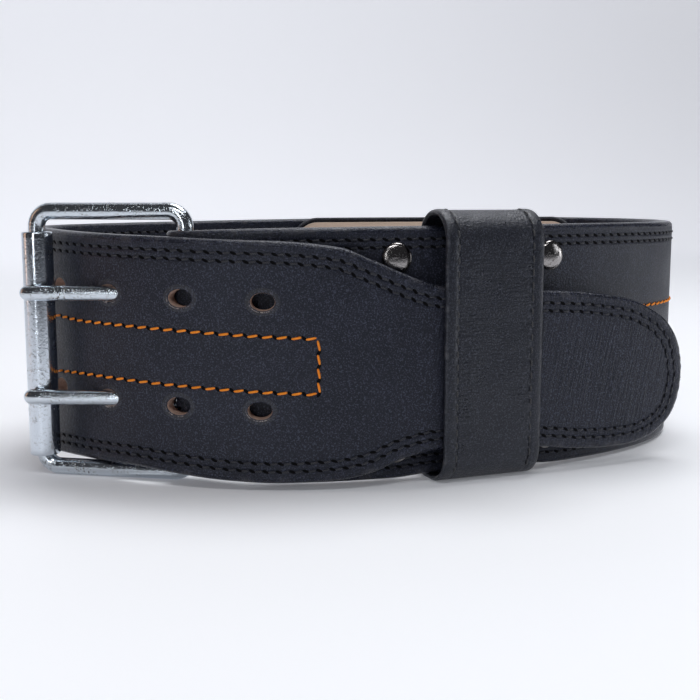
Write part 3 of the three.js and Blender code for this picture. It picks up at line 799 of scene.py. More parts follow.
def build_threads(name, places, length, width, arch, slant):
    """Many threads: a flattened round section swept along a low arch that dips in at both ends."""
    points, travel, normal = places
    forward, across = leaning(travel, normal, slant)
    share = np.sin(np.linspace(-1, 1, THREAD_RINGS) * math.pi / 2)
    turn = 2 * math.pi * np.arange(THREAD_SIDES) / THREAD_SIDES
    size = width / 2 * np.sqrt(np.maximum(0.004, 1 - share**4))[:, None]
    lift = (arch * (1 - share**2) - width * 0.35 * share**2)[:, None] + 0.75 * size * np.sin(turn)
    sideways = size * np.cos(turn)
    grid = (
        points[:, None, None]
        + forward[:, None, None] * (share * length / 2)[:, None, None]
        + across[:, None, None] * sideways[..., None]
        + normal[:, None, None] * lift[..., None]
    )
    faces = many_grids(len(points), THREAD_RINGS, THREAD_SIDES)
    corners = THREAD_RINGS * THREAD_SIDES
    first = np.arange(THREAD_SIDES)
    last = first + corners - THREAD_SIDES
    ends = [row + start for start in np.arange(len(points)) * corners for row in (first[::-1], last)]
    twist = np.broadcast_to((share * length / 2)[None, :, None] + sideways[None], grid.shape[:3])
    same = outward_faces(grid[0].reshape(-1, 3), faces[: corners - THREAD_SIDES])
    if same[0][0] != faces[0][0]:
        faces = faces[:, ::-1]
        ends = [end[::-1] for end in ends]
    return make_mesh(name, grid, faces, ends, {"twist": twist})


def build_slot_shades(name, places, length, height, slant):
    """Painted shade of needle slots: low dark ovals that lean with the thread."""
    points, travel, normal = places
    forward, across = leaning(travel, normal, slant)
    turn = 2 * math.pi * np.arange(SLOT_SIDES) / SLOT_SIDES
    ring = (
        points[:, None]
        + forward[:, None] * (np.cos(turn) * length / 2)[:, None]
        + across[:, None] * (np.sin(turn) * height / 2)[:, None]
    )
    return make_mesh(name, ring, np.arange(len(points) * SLOT_SIDES).reshape(-1, SLOT_SIDES))


def several(parts):
    """Sewn places of several rows as one set."""
    return tuple(np.concatenate(part) for part in zip(*parts))


def edge_row_places(side, share, lift):
    """Places of both sewn rows that follow the strap's outline, on one face; share 0.5 is mid-stitch."""
    rows = []
    for inside in EDGE_ROWS:
        place, heading = sewn_places(edge_path(inside), EDGE_PITCH, share)
        if side < 0:
            clear = place[:, 0] > FLAP_LENGTH + STRAP_THICKNESS
            place, heading = place[clear], heading[clear]
        rows.append(on_face(place, heading, side, lift))
    return several(rows)


def coloured_paths():
    """The two coloured rows along the middle, and the short row that closes them on the tail."""
    end = LOOP_LENGTH + THREAD_END
    run = np.arange(SKIVE_LENGTH, end, 2)
    run = np.append(run, end)
    middle = thread_middle(run) - rest_of_run(run)
    half = table_value(THREAD_ROWS, "half", run / LOOP_LENGTH)
    lower, upper = np.stack([run, middle - half], 1), np.stack([run, middle + half], 1)
    across = mix(lower[-1], upper[-1], np.linspace(0, 1, 12)[:, None])
    return [lower, across, upper]


def coloured_places(side, share, lift):
    """Places along the lower row, up across the tail and back along the upper row."""
    rows = []
    for path in coloured_paths():
        place, heading = sewn_places(path, THREAD_PITCH, share)
        if side < 0:
            behind_pad = np.abs(place[:, 0] - PAD_AT) < PAD_LENGTH / 2 + THREAD_PITCH
            clear = (place[:, 0] > FLAP_LENGTH + STRAP_THICKNESS) & ~behind_pad
            place, heading = place[clear], heading[clear]
        rows.append(on_face(place, heading, side, lift))
    return several(rows)


def keeper_frame():
    """The keeper's section: its clear space across the wall, and the wall's axes there."""
    point, along, outward = (value[0] for value in wall_at(np.array([float(KEEPER_AT)])))
    run = KEEPER_AT + np.linspace(-0.5, 0.5, 5) * KEEPER_WIDTH
    wall_point, wall_along, wall_outward = wall_at(run)

    def across(out):
        return (wall_point + wall_outward * out[:, None] - point) @ outward

    outer = across(tail_middle(run) + STRAP_THICKNESS / 2).max()
    inner = across(np.full(5, -FLAP_INSET)).min()
    return point, along, outward, inner, outer


def keeper_outline(depth, spacing):
    """Outline of the keeper's band at a depth from its inner face, with normals."""
    point, along, outward, inner, outer = keeper_frame()
    left, right = inner - KEEPER_CLEARANCE, outer + KEEPER_CLEARANCE
    top = FRONT_RAISE + STRAP_WIDTH + KEEPER_HEADROOM
    less = KEEPER_THICKNESS - depth
    corners = [KEEPER_CORNER - less] * 3 + [KEEPER_BACK_CORNER - less]
    return rounded_rectangle(
        left - depth, KEEPER_THICKNESS - depth, right + depth, top + depth, corners, spacing
    )


def on_keeper(outline, normal, width, out):
    """Points of the keeper: a place on its outline, across its width, and out from that outline."""
    point, along, outward, inner, outer = keeper_frame()
    flat = outline + normal * out[..., None]
    plan = point + outward * flat[..., :1] - along * width[..., None]
    return in_space(plan, flat[..., 1])


def build_keeper():
    """A flat band swept round its outline; its side edges are turned and stand a little proud."""
    outline, normal = keeper_outline(KEEPER_THICKNESS / 2, 1.4)
    half, thick = KEEPER_WIDTH / 2, KEEPER_THICKNESS / 2
    section, facing = rounded_rectangle(-half, -thick, half, thick, [KEEPER_EDGE_ROUND] * 4, 1)
    around = measured(outline)
    from_side = half - np.abs(section[:, 0])
    before_row = 1 - smooth_step(from_side, KEEPER_ROW - 0.8, KEEPER_ROW + 0.6)
    hem = KEEPER_HEM * smooth_step(from_side, 0.2, 2) * before_row
    crossing = np.sin(around[:, None] / 9 + section[None, :, 0] / 7)
    wave = KEEPER_WAVE * crossing * np.sin(around[:, None] / 23 + 1)
    off_floor = smooth_step(normal[:, 1:], -0.9, -0.4)
    raised = off_floor * (hem + np.maximum(wave, 0))
    out = section[None, :, 1] + np.where(section[:, 1] > 0, raised, 0)
    width = np.broadcast_to(section[None, :, 0], out.shape)
    rings = on_keeper(outline[:, None], normal[:, None], width, out)
    attributes = {"side_distance": np.broadcast_to(from_side, out.shape)}
    return closed_rows("keeper_leather_band", rings, close_rows=True, attributes=attributes)


def keeper_places(share, lift):
    """Sewn places of the keeper's two rows, all the way round on its outer face."""
    outline, normal = keeper_outline(KEEPER_THICKNESS, 0.7)
    around = measured(np.concatenate([outline, outline[:1]]))
    count = int(around[-1] // KEEPER_PITCH)
    where = (np.arange(count) + share) * around[-1] / count
    place = interpolate(where, around, np.concatenate([outline, outline[:1]]))
    facing = unit(interpolate(where, around, np.concatenate([normal, normal[:1]])))
    point, along, outward, inner, outer = keeper_frame()
    rows = []
    for side in (-1, 1):
        width = np.full(count, side * (KEEPER_WIDTH / 2 - KEEPER_ROW))
        proud = np.where(facing[:, 1] < -0.5, -0.6, 0.05 + lift)
        points = on_keeper(place, facing, width, proud)
        out = in_space(outward * facing[:, :1], facing[:, 1])
        travel = np.cross(in_space(along, 0)[None], out)
        rows.append((points, travel, out))
    return several(rows)


def build_frame():
    """One closed ring of round wire, upright between the bar and the roller."""
    low = FRAME_WIRE / 2
    outline, normal = rounded_rectangle(0, low, FRAME_REACH, FRAME_HEIGHT - low, [FRAME_CORNER] * 4, 0.8)
    plan = bar_centre + frame_direction * outline[:, :1]
    points = in_space(plan, outline[:, 1])
    rings = tube_rings(points, FRAME_WIRE / 2, in_space(-frame_outward, 0), closed=True)
    return closed_rows("buckle_frame_wire", rings, close_rows=True)


def build_roller():
    """A thin-walled sleeve with rolled ends: a closed profile turned about its axis."""
    inner, outer = ROLLER_DIAMETER / 2 - ROLLER_WALL, ROLLER_DIAMETER / 2
    half = FRAME_HEIGHT / 2 - FRAME_WIRE - ROLLER_ROOM
    profile, normal = rounded_rectangle(inner, -half, outer, half, [ROLLER_LIP] * 4, 2)
    rings = lathe(profile, 64) + in_space(roller_centre, FRAME_HEIGHT / 2 - ROLLER_DROP)
    return closed_rows("roller_sleeve", rings, close_rows=True)


def smooth_line(points, count):
    """Points spread evenly along straight pieces whose corners are softened."""
    length = measured(points)
    even = interpolate(np.linspace(0, length[-1], count), length, points)
    for turn in range(6):
        even[1:-1] = (even[:-2] + 2 * even[1:-1] + even[2:]) / 4
    return even


def build_prong(name, height):
    """Round wire with a domed tip past the roller and an eye round the bar."""
    radius = PRONG_WIRE / 2
    line = smooth_line(prong_line(height), PRONG_STEPS)
    end = unit(line[-1] - line[-2])
    swell = np.linspace(0, math.pi / 2, 8)[1:]
    dome = line[-1] + end * (radius * np.sin(swell))[:, None]
    size = np.concatenate([np.full(PRONG_STEPS, radius), radius * np.maximum(0.02, np.cos(swell))])
    shank = tube_rings(np.concatenate([line, dome]), size, np.array([0, 0, 1.0]))
    bore = FRAME_WIRE / 2 + PRONG_CLEARANCE
    section, normal = rounded_rectangle(bore, -radius, bore + PRONG_EYE_WALL, radius, [1.3] * 4, 0.6)
    eye = lathe(section, 40) + in_space(bar_centre, height)
    return joined_rows(f"{name}_wire", [shank, eye], ringed=[1])


def rivet_profile():
    """Radius and height of a rivet: washer behind, shank, then a dome with a thin turned rim."""
    head, shank = RIVET_HEAD / 2, RIVET_SHANK / 2
    washer_top = -(FLAP_INSET + 2 * RIVET_CLEARANCE)
    washer_bottom = washer_top - RIVET_WASHER_THICKNESS
    swell = np.linspace(0, math.pi / 2, 16)[1:]
    dome = [(max(0.02, head * math.cos(t)), 0.25 + (RIVET_DOME - 0.25) * math.sin(t)) for t in swell]
    return [
        (0.02, washer_bottom),
        (RIVET_WASHER / 2 - 0.3, washer_bottom),
        (RIVET_WASHER / 2, washer_bottom + 0.3),
        (RIVET_WASHER / 2, washer_top - 0.2),
        (RIVET_WASHER / 2 - 0.2, washer_top),
        (shank, washer_top),
        (shank, -RIVET_CLEARANCE),
        (head - 0.25, -RIVET_CLEARANCE + 0.05),
        (head, 0),
        (head, 0.2),
        *dome,
    ]


def build_rivet(name, run, height):
    rings = place_on_wall(lathe(rivet_profile(), 40), run, RIVET_CLEARANCE, height)
    return closed_rows(f"{name}_steel", rings)


def pad_point(along, height, out):
    """Point on the far wall's inner side: along the wall from the pad's middle, height and out."""
    point, direction, outward = wall_at(PAD_AT + along)
    plan = point + outward * np.asarray(out)[..., None]
    return in_space(plan, rest_height(plan[..., 1]) + PAD_RAISE + height)


def build_pad():
    """A stuffed flat form: level against the wall, crowned toward the waist, thin at its sewn rim."""
    inner = np.arange(PAD_CORNER, PAD_LENGTH - PAD_CORNER, 2.5)
    corner = PAD_CORNER * (1 - np.cos(np.linspace(0, math.pi / 2, 14)))
    along = np.concatenate([corner, inner[1:], PAD_LENGTH - corner[::-1]])
    into = np.maximum(0, PAD_CORNER - np.minimum(along, PAD_LENGTH - along))
    cut = PAD_CORNER - np.sqrt(np.maximum(0, PAD_CORNER**2 - into**2))
    low, high = cut, PAD_HEIGHT - cut
    height = section_heights(low, high)
    distance = outline_distance(along, height, low, high)
    rise = np.sqrt(1 - (1 - np.clip(distance / PAD_SHOULDER, 0, 1)) ** 2)
    thick = PAD_EDGE + (PAD_THICKNESS + PAD_PUFF - PAD_EDGE) * rise
    thick += 0.35 * rise * np.sin(along[:, None] / 11) * np.sin(height / 13)
    back = np.full_like(thick, -(STRAP_THICKNESS + SEAT_GAP))
    back -= 0.5 * (1 - smooth_step(distance, 0, 0.8))
    place = np.broadcast_to(along[:, None] - PAD_LENGTH / 2, height.shape)
    outer, front = pad_point(place, height, back), pad_point(place, height, back - thick)
    rings = np.concatenate([outer, front[:, ::-1]], 1)
    return closed_rows("back_pad_suede", rings, attributes={"rim_distance": there_and_back(distance)})


def build_piping():
    """A covered cord that follows the pad's outline on the wall."""
    edge = PIPING_GAP + PIPING_DIAMETER / 2
    side = PAD_LENGTH / 2 + edge
    corners = [PAD_CORNER + edge] * 4
    outline, normal = rounded_rectangle(-side, -edge, side, PAD_HEIGHT + edge, corners, 1.6)
    out = np.full(len(outline), -(STRAP_THICKNESS + SEAT_GAP + PIPING_DIAMETER / 2))
    points = pad_point(outline[:, 0], outline[:, 1], out)
    outward = wall_at(PAD_AT + outline[:, 0])[2]
    rings = tube_rings(points, PIPING_DIAMETER / 2, in_space(outward, 0), 16, closed=True)
    around = np.broadcast_to(measured(outline)[:, None], rings.shape[:2])
    return closed_rows("pad_piping_cord", rings, close_rows=True, attributes={"around": around})


class Graph:
    """Writes a node tree: each call adds a node, feeds it and gives back one of its outputs."""

    def __init__(self, tree):
        self.tree = tree

    def feed(self, socket, value):
        if isinstance(value, bpy.types.NodeSocket):
            self.tree.links.new(value, socket)
        else:
            socket.default_value = value

    def add(self, kind, inputs, output=0, **settings):
        node = self.tree.nodes.new("ShaderNode" + kind)
        for key, value in settings.items():
            setattr(node, key, value)
        for key, value in inputs.items():
            self.feed(node.inputs[key], value)
        return node.outputs[output]

    def math(self, operation, first, second=0.0, third=0.0):
        return self.add("Math", {0: first, 1: second, 2: third}, operation=operation)

    def noise(self, vector, scale, detail=2.0, roughness=0.5):
        inputs = {"Vector": vector, "Scale": scale, "Detail": detail, "Roughness": roughness}
        return self.add("TexNoise", inputs)

    def cells(self, vector, scale):
        return self.add("TexVoronoi", {"Vector": vector, "Scale": scale}, "Distance")

    def place(self):
        return self.add("TexCoord", {}, "Object")

    def stretched(self, vector, scale):
        return self.add("Mapping", {"Vector": vector, "Scale": scale})

    def attribute(self, name):
        return self.add("Attribute", {}, "Fac", attribute_name=name)

    def step(self, value, low, high, start=0.0, end=1.0):
        inputs = {"Value": value, 1: low, 2: high, 3: start, 4: end}
        return self.add("MapRange", inputs, interpolation_type="SMOOTHSTEP")

    def colours(self, share, first, second):
        inputs = {0: share, 6: first, 7: second}
        return self.add("Mix", inputs, 2, data_type="RGBA")

    def bump(self, height, strength=1.0):
        """Surface relief from a height in millimetres."""
        return self.add("Bump", {"Height": height, "Strength": strength, "Distance": MM})


def colour(red, green, blue):
    return (red, green, blue, 1.0)


def effect_group(name, inputs, outputs):
    """A shared node group with float or vector inputs and float outputs, built once."""
    group = bpy.data.node_groups.new(name, "ShaderNodeTree")
    for label, kind in inputs.items():
        group.interface.new_socket(label, in_out="INPUT", socket_type=kind)
    for label in outputs:
        group.interface.new_socket(label, in_out="OUTPUT", socket_type="NodeSocketFloat")
    entry = group.nodes.new("NodeGroupInput")
    leave = group.nodes.new("NodeGroupOutput")
    return group, entry, leave


def grain_group():
    """Fine leather grain: Height in millimetres from pores and soft creases, and Tone from 0 to 1."""
    group, entry, leave = effect_group("leather_grain", {"Place": "NodeSocketVector"}, ["Height", "Tone"])
    graph = Graph(group)
    place = entry.outputs["Place"]
    pores = graph.cells(place, 1300)
    fine = graph.noise(place, 1100, 4, 0.65)
    broad = graph.noise(place, 45, 3)
    height = graph.math("MULTIPLY_ADD", pores, 0.07, graph.math("MULTIPLY", fine, 0.24))
    height = graph.math("MULTIPLY_ADD", broad, 0.3, height)
    specks = graph.step(graph.noise(place, 1700, 2, 0.7), 0.5, 0.66)
    tone = graph.math("MULTIPLY_ADD", broad, 0.2, graph.math("MULTIPLY", specks, 0.9))
    graph.feed(leave.inputs["Height"], height)
    graph.feed(leave.inputs["Tone"], tone)
    return group


def use_group(graph, group, place):
    node = graph.tree.nodes.new("ShaderNodeGroup")
    node.node_tree = group
    graph.feed(node.inputs[0], place)
    return node.outputs


def new_material(name):
    material = bpy.data.materials.new(name)
    material.use_nodes = True
    return material, Graph(material.node_tree), material.node_tree.nodes["Principled BSDF"].inputs


def dips(graph, distance, rows, width, depth):
    """Height of narrow grooves, one along each of several distances."""
    total = 0.0
    for row in rows:
        off = graph.math("ABSOLUTE", graph.math("SUBTRACT", distance, row))
        dip = graph.step(off, 0, width, -depth, 0)
        total = graph.math("ADD", total, dip)
    return total


# Finishes, each as its two colours: dark and pale, or for steel clean and dull
LEATHER = (colour(0.005, 0.0058, 0.0105), colour(0.05, 0.055, 0.085))
LEATHER_SHINE = colour(0.9, 0.93, 1.0)
LEATHER_WORN = colour(0.075, 0.073, 0.08)
KEEPER_LEATHER = (colour(0.006, 0.007, 0.011), colour(0.045, 0.048, 0.066))
KEEPER_WORN = colour(0.09, 0.088, 0.095)
RAW_LEATHER = (colour(0.16, 0.105, 0.085), colour(0.7, 0.48, 0.38))
# Painted highlight for the lower lips of the holes, pale where light from above catches them
PAINTED_LIP_HIGHLIGHT = colour(0.5, 0.43, 0.4)
SLOT_SHADE = (colour(0.001, 0.001, 0.0015), colour(0.004, 0.004, 0.005))
EDGE_THREAD = (colour(0.006, 0.0065, 0.009), colour(0.04, 0.042, 0.056))
KEEPER_THREAD = (colour(0.008, 0.008, 0.01), colour(0.05, 0.05, 0.055))
ORANGE_THREAD = (colour(1.0, 0.15, 0.0), colour(1.0, 0.42, 0.015))
ZINC = (colour(0.6, 0.65, 0.7), colour(0.16, 0.155, 0.15))
ROLLER_ZINC = (colour(0.62, 0.67, 0.73), colour(0.26, 0.25, 0.25))
RIVET_STEEL = (colour(0.3, 0.285, 0.28), colour(0.07, 0.055, 0.045))
SUEDE = (colour(0.42, 0.29, 0.22), colour(0.82, 0.64, 0.52))
SUEDE_RIM = colour(0.2, 0.14, 0.1)


def strap_material(grain):
    """Satin black leather: pores, faint pull lines, sewn grooves and burnished edges."""
    material, graph, shader = new_material("strap_black_leather")
    place = graph.place()
    surface = use_group(graph, grain, place)
    edge = graph.attribute("edge_distance")
    along = graph.attribute("along")
    middle = graph.attribute("from_middle")
    height = graph.math("ADD", surface["Height"], dips(graph, edge, EDGE_ROWS, 1.5, 0.28))
    beside = dips(graph, graph.math("ABSOLUTE", middle), (11.2,), 2.2, 0.12)
    sewn = graph.step(along, LOOP_LENGTH + THREAD_END - 1, LOOP_LENGTH + THREAD_END + 1, 1, 0)
    height = graph.math("MULTIPLY_ADD", beside, sewn, height)
    slanted = graph.math("MULTIPLY_ADD", middle, -0.2, along)
    across, up = graph.math("MULTIPLY", slanted, 0.75), graph.math("MULTIPLY", middle, 0.05)
    lines = graph.add("CombineXYZ", {"X": across, "Y": up})
    pulls = graph.noise(lines, 1.0, 3, 0.6)
    bent = graph.step(along, LOOP_LENGTH + 15, LOOP_LENGTH + 70, 0.06, 0.5)
    height = graph.math("MULTIPLY_ADD", pulls, bent, height)
    burnished = graph.step(edge, 1.2, 3.2, 1.0, 0.0)
    wear = graph.math("MULTIPLY", burnished, graph.step(graph.noise(place, 180, 3), 0.5, 0.7))
    tone = graph.colours(surface["Tone"], *LEATHER)
    tone = graph.colours(graph.math("MULTIPLY", wear, 0.5), tone, LEATHER_WORN)
    graph.feed(shader["Base Color"], tone)
    crinkle = graph.math("MULTIPLY", graph.noise(place, 650, 3, 0.6), burnished)
    height = graph.math("MULTIPLY_ADD", crinkle, 0.22, height)
    rough = graph.math("MULTIPLY_ADD", graph.noise(place, 70, 4), 0.2, 0.31)
    graph.feed(shader["Roughness"], graph.math("MULTIPLY_ADD", burnished, -0.22, rough))
    shader["Specular Tint"].default_value = LEATHER_SHINE
    shader["Specular IOR Level"].default_value = 0.3
    graph.feed(shader["Normal"], graph.bump(height))
    return material


def keeper_material(grain):
    """Glossier, thinner leather with fine wrinkles that run along its width."""
    material, graph, shader = new_material("keeper_black_leather")
    place = graph.place()
    surface = use_group(graph, grain, place)
    side = graph.attribute("side_distance")
    wrinkles = graph.noise(graph.stretched(place, (190, 190, 1100)), 1.0, 3, 0.6)
    clumps = graph.step(graph.noise(place, 50, 2), 0.35, 0.65)
    near = graph.step(side, KEEPER_ROW - 1.5, KEEPER_ROW + 0.5)
    near = graph.math("MULTIPLY", near, graph.step(side, KEEPER_ROW, 4 * KEEPER_ROW, 1, 0.4))
    wrinkles = graph.math("MULTIPLY", graph.math("MULTIPLY", wrinkles, clumps), near)
    height = graph.math("MULTIPLY_ADD", wrinkles, 0.7, surface["Height"])
    height = graph.math("ADD", height, dips(graph, side, (KEEPER_ROW,), 1.4, 0.3))
    tone = graph.colours(surface["Tone"], *KEEPER_LEATHER)
    shader["Specular Tint"].default_value = LEATHER_SHINE
    shader["Specular IOR Level"].default_value = 0.42
    scuffs = graph.step(graph.noise(place, 260, 2), 0.5, 0.7)
    worn = graph.math("MULTIPLY", graph.step(side, 0.4, 1.6, 1, 0), scuffs)
    tone = graph.colours(graph.math("MULTIPLY", worn, 0.6), tone, KEEPER_WORN)
    graph.feed(shader["Base Color"], tone)
    graph.feed(shader["Roughness"], graph.math("MULTIPLY_ADD", graph.noise(place, 90, 3), 0.16, 0.22))
    graph.feed(shader["Normal"], graph.bump(height))
    return material


def rim_material(grain):
    """Black lip that turns into raw brown leather inside the hole, with a painted pale highlight in patches
    along its lower side.
    """
    material, graph, shader = new_material("hole_rim_leather")
    place = graph.place()
    surface = use_group(graph, grain, place)
    inward = graph.attribute("inward")
    below = graph.attribute("below")
    fibres = graph.noise(graph.stretched(place, (500, 1600, 500)), 1.0, 4, 0.7)
    raw = graph.colours(fibres, *RAW_LEATHER)
    black = graph.colours(surface["Tone"], *LEATHER)
    tone = graph.colours(graph.step(inward, 0.3, 0.42), black, raw)
    lip = graph.math("MULTIPLY", graph.step(inward, 0.2, 0.32), graph.step(inward, 0.36, 0.5, 1, 0))
    # Painted highlight: the lower side of each hole's lip is painted pale in noisy patches, where light
    # from above catches the lip
    lip_highlight = graph.math("MULTIPLY", lip, graph.step(below, 0.1, 0.9))
    lip_highlight = graph.math("MULTIPLY", lip_highlight, graph.step(graph.noise(place, 900, 3, 0.7), 0.42, 0.62))
    tone = graph.colours(lip_highlight, tone, PAINTED_LIP_HIGHLIGHT)
    graph.feed(shader["Base Color"], tone)
    graph.feed(shader["Roughness"], graph.step(inward, 0.25, 0.45, 0.5, 0.85))
    height = graph.math("MULTIPLY_ADD", fibres, 0.12, surface["Height"])
    graph.feed(shader["Normal"], graph.bump(height))
    return material


def thread_material(name, tones, rough):
    """Twisted waxed thread: slanting strands in tone and relief."""
    material, graph, shader = new_material(name)
    strands = graph.math("SINE", graph.math("MULTIPLY", graph.attribute("twist"), 9.0))
    strands = graph.step(strands, -1, 1)
    fuzz = graph.noise(graph.place(), 1500, 2)
    share = graph.math("MULTIPLY_ADD", fuzz, 0.4, graph.math("MULTIPLY", strands, 0.6))
    graph.feed(shader["Base Color"], graph.colours(share, *tones))
    graph.feed(shader["Roughness"], graph.math("MULTIPLY_ADD", fuzz, 0.2, rough))
    graph.feed(shader["Normal"], graph.bump(graph.math("MULTIPLY", strands, 0.08)))
    return material


def pit_material():
    """The shade inside a needle slot."""
    material, graph, shader = new_material("needle_slot_shade")
    tone = graph.colours(graph.noise(graph.place(), 1200, 1), *SLOT_SHADE)
    graph.feed(shader["Base Color"], tone)
    shader["Roughness"].default_value = 0.9
    shader["Specular IOR Level"].default_value = 0.1
    return material


def steel_material(name, tones, rough, mottle):
    """Plated steel: cloudy patches and small dull spots over fine drawn lines."""
    material, graph, shader = new_material(name)
    place = graph.place()
    clouds = graph.noise(place, 120, 4, 0.6)
    spots = graph.step(graph.noise(place, 850, 3, 0.65), 0.5, 0.68)
    patches = graph.math("MULTIPLY", graph.step(clouds, 0.42, 0.62), spots)
    share = graph.math("MULTIPLY", patches, mottle)
    graph.feed(shader["Base Color"], graph.colours(share, *tones))
    shader["Metallic"].default_value = 1.0
    graph.feed(shader["Roughness"], graph.math("MULTIPLY_ADD", share, 0.3, rough))
    drawn = graph.noise(graph.stretched(place, (1500, 1500, 60)), 1.0, 3)
    height = graph.math("MULTIPLY_ADD", drawn, 0.006, graph.math("MULTIPLY", spots, -0.035 * mottle))
    height = graph.math("MULTIPLY_ADD", graph.noise(place, 1500, 3, 0.7), 0.04 * mottle, height)
    height = graph.math("MULTIPLY_ADD", clouds, 0.03, height)
    graph.feed(shader["Normal"], graph.bump(height))
    return material


def suede_material():
    """Tan suede: a soft nap with brushed lighter and darker clouds, darker at the sewn rim."""
    material, graph, shader = new_material("pad_tan_suede")
    place = graph.place()
    nap = graph.noise(place, 1100, 4, 0.7)
    clouds = graph.noise(place, 28, 4, 0.6)
    share = graph.math("MULTIPLY_ADD", nap, 0.45, graph.math("MULTIPLY", clouds, 0.6))
    tone = graph.colours(share, *SUEDE)
    rim = graph.step(graph.attribute("rim_distance"), 0.5, 5, 1, 0)
    tone = graph.colours(graph.math("MULTIPLY", rim, 0.35), tone, SUEDE_RIM)
    graph.feed(shader["Base Color"], tone)
    shader["Roughness"].default_value = 0.95
    shader["Sheen Weight"].default_value = 0.35
    shader["Sheen Roughness"].default_value = 0.5
    graph.feed(shader["Normal"], graph.bump(graph.math("MULTIPLY", nap, 0.14)))
    return material


def piping_material(grain):
    """Black covered cord, drawn into fine crossways folds."""
    material, graph, shader = new_material("piping_black_cover")
    place = graph.place()
    surface = use_group(graph, grain, place)
    folds = graph.math("SINE", graph.math("MULTIPLY", graph.attribute("around"), 3.4))
    height = graph.math("MULTIPLY_ADD", graph.step(folds, -1, 1), 0.06, surface["Height"])
    graph.feed(shader["Base Color"], graph.colours(surface["Tone"], *LEATHER))
    graph.feed(shader["Roughness"], graph.math("MULTIPLY_ADD", graph.noise(place, 200, 2), 0.2, 0.4))
    graph.feed(shader["Normal"], graph.bump(height))
    return material


def finish_piece(piece, material, slot, *nodes):
    """Material, material slot (not used), the body it rides on and the nodes it stands for."""
    piece.data.materials.clear()
    piece.data.materials.append(material)
    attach(piece, "root")
    if nodes:
        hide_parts(*nodes)
    return piece


def make_strap(grain, pit):
    black = thread_material("thread_black", EDGE_THREAD, 0.24)
    orange = thread_material("thread_orange", ORANGE_THREAD, 0.45)
    finish_piece(build_strap(), strap_material(grain), "strap_leather", "belt_strap")
    finish_piece(build_hole_sleeves(), rim_material(grain), "strap_leather")
    for side, word in ((1, "outer"), (-1, "inner")):
        for row, places, material, stitch, slot in (
            ("edge", edge_row_places, black, EDGE_STITCH, EDGE_SLOT),
            ("coloured", coloured_places, orange, COLOURED_STITCH, COLOURED_SLOT),
        ):
            threads = build_threads(f"{row}_threads_{word}", places(side, 0.5, 0), *stitch)
            # The dark ovals at the needle holes are painted shade of the slots
            slots = build_slot_shades(f"{row}_needle_slot_shades_{word}", places(side, 0, SLOT_LIFT), *slot)
            finish_piece(threads, material, "strap_leather")
            finish_piece(slots, pit, "strap_leather")


def make_keeper(grain, pit):
    black = thread_material("keeper_thread", KEEPER_THREAD, 0.3)
    finish_piece(build_keeper(), keeper_material(grain), "keeper_leather", "keeper_loop")
    threads = build_threads("keeper_threads", keeper_places(0.5, 0), *KEEPER_STITCH)
    # The dark ovals at the needle holes are painted shade of the slots
    pits = build_slot_shades("keeper_needle_slots", keeper_places(0, SLOT_LIFT), *KEEPER_SLOT)
    finish_piece(threads, black, "keeper_leather")
    finish_piece(pits, pit, "keeper_leather")


def make_buckle():
    zinc = steel_material("zinc_plate", ZINC, 0.14, 1.0)
    smooth = steel_material("zinc_roller", ROLLER_ZINC, 0.12, 0.6)
    finish_piece(build_frame(), zinc, "plated_steel", "buckle_frame")
    finish_piece(build_roller(), smooth, "plated_steel", "roller")
    for name, height in PRONG_HEIGHTS.items():
        finish_piece(build_prong(name, height), zinc, "plated_steel", name)


def make_rivets():
    dark = steel_material("rivet_dark_steel", RIVET_STEEL, 0.13, 0.8)
    places = [(column, row * STRAP_WIDTH) for column in RIVET_COLUMNS for row in RIVET_ROWS]
    for number, (run, height) in enumerate(places, 1):
        name = f"rivet_{number}"
        finish_piece(build_rivet(name, run, height), dark, "rivet_steel", name)


def make_pad(grain):
    pad = finish_piece(build_pad(), suede_material(), "pad_suede", "back_pad")
    finish_piece(build_piping(), piping_material(grain), "piping_cord", "pad_piping")


# Camera, measured from the photograph
CAMERA_PLACE = (-165.56, -453.86, 109.14)
CAMERA_HEADING = 19.18
CAMERA_PITCH = 8.02
CAMERA_LENS = 54


def make_camera():
    data = bpy.data.cameras.new("camera")
    data.lens = CAMERA_LENS
    data.sensor_width = 36
    data.clip_start, data.clip_end = 0.01, 50
    camera = bpy.data.objects.new("camera", data)
    camera.location = Vector(CAMERA_PLACE) * MM
    camera.rotation_euler = Euler((math.radians(90 - CAMERA_PITCH), 0, math.radians(-CAMERA_HEADING)))
    bpy.context.scene.collection.objects.link(camera)
    bpy.context.scene.camera = camera


# Studio, in metres. Beyond SHADE_FROM the floor is painted dark for all but camera rays, painted shade that
# only reflections see, as a table that ends there
SHADE_FROM = -0.34
SHADE_FULL = -0.52
FLOOR_WIDTH = 8
FLOOR_FRONT = -1.4
FLOOR_BACK = 1.6
SWEEP_RADIUS = 1.2
WALL_HEIGHT = 3.5


def build_backdrop():
    """A pale floor that bends up into a wall behind the belt."""
    turn = np.linspace(-math.pi / 2, 0, 24)
    bend_y = FLOOR_BACK + SWEEP_RADIUS * np.cos(turn)
    bend_z = SWEEP_RADIUS + SWEEP_RADIUS * np.sin(turn)
    side_y = np.concatenate([[FLOOR_FRONT], bend_y, [FLOOR_BACK + SWEEP_RADIUS]])
    side_z = np.concatenate([[0], bend_z, [WALL_HEIGHT]])
    half = FLOOR_WIDTH / 2
    rows = [np.stack([np.full_like(side_y, x), side_y, side_z], 1) for x in (-half, half)]
    points = np.stack(rows, 1) / MM - SHIFT
    faces = grid_faces(len(side_y), 2, close_columns=False)[:, ::-1]
    return make_mesh("backdrop", points, faces)


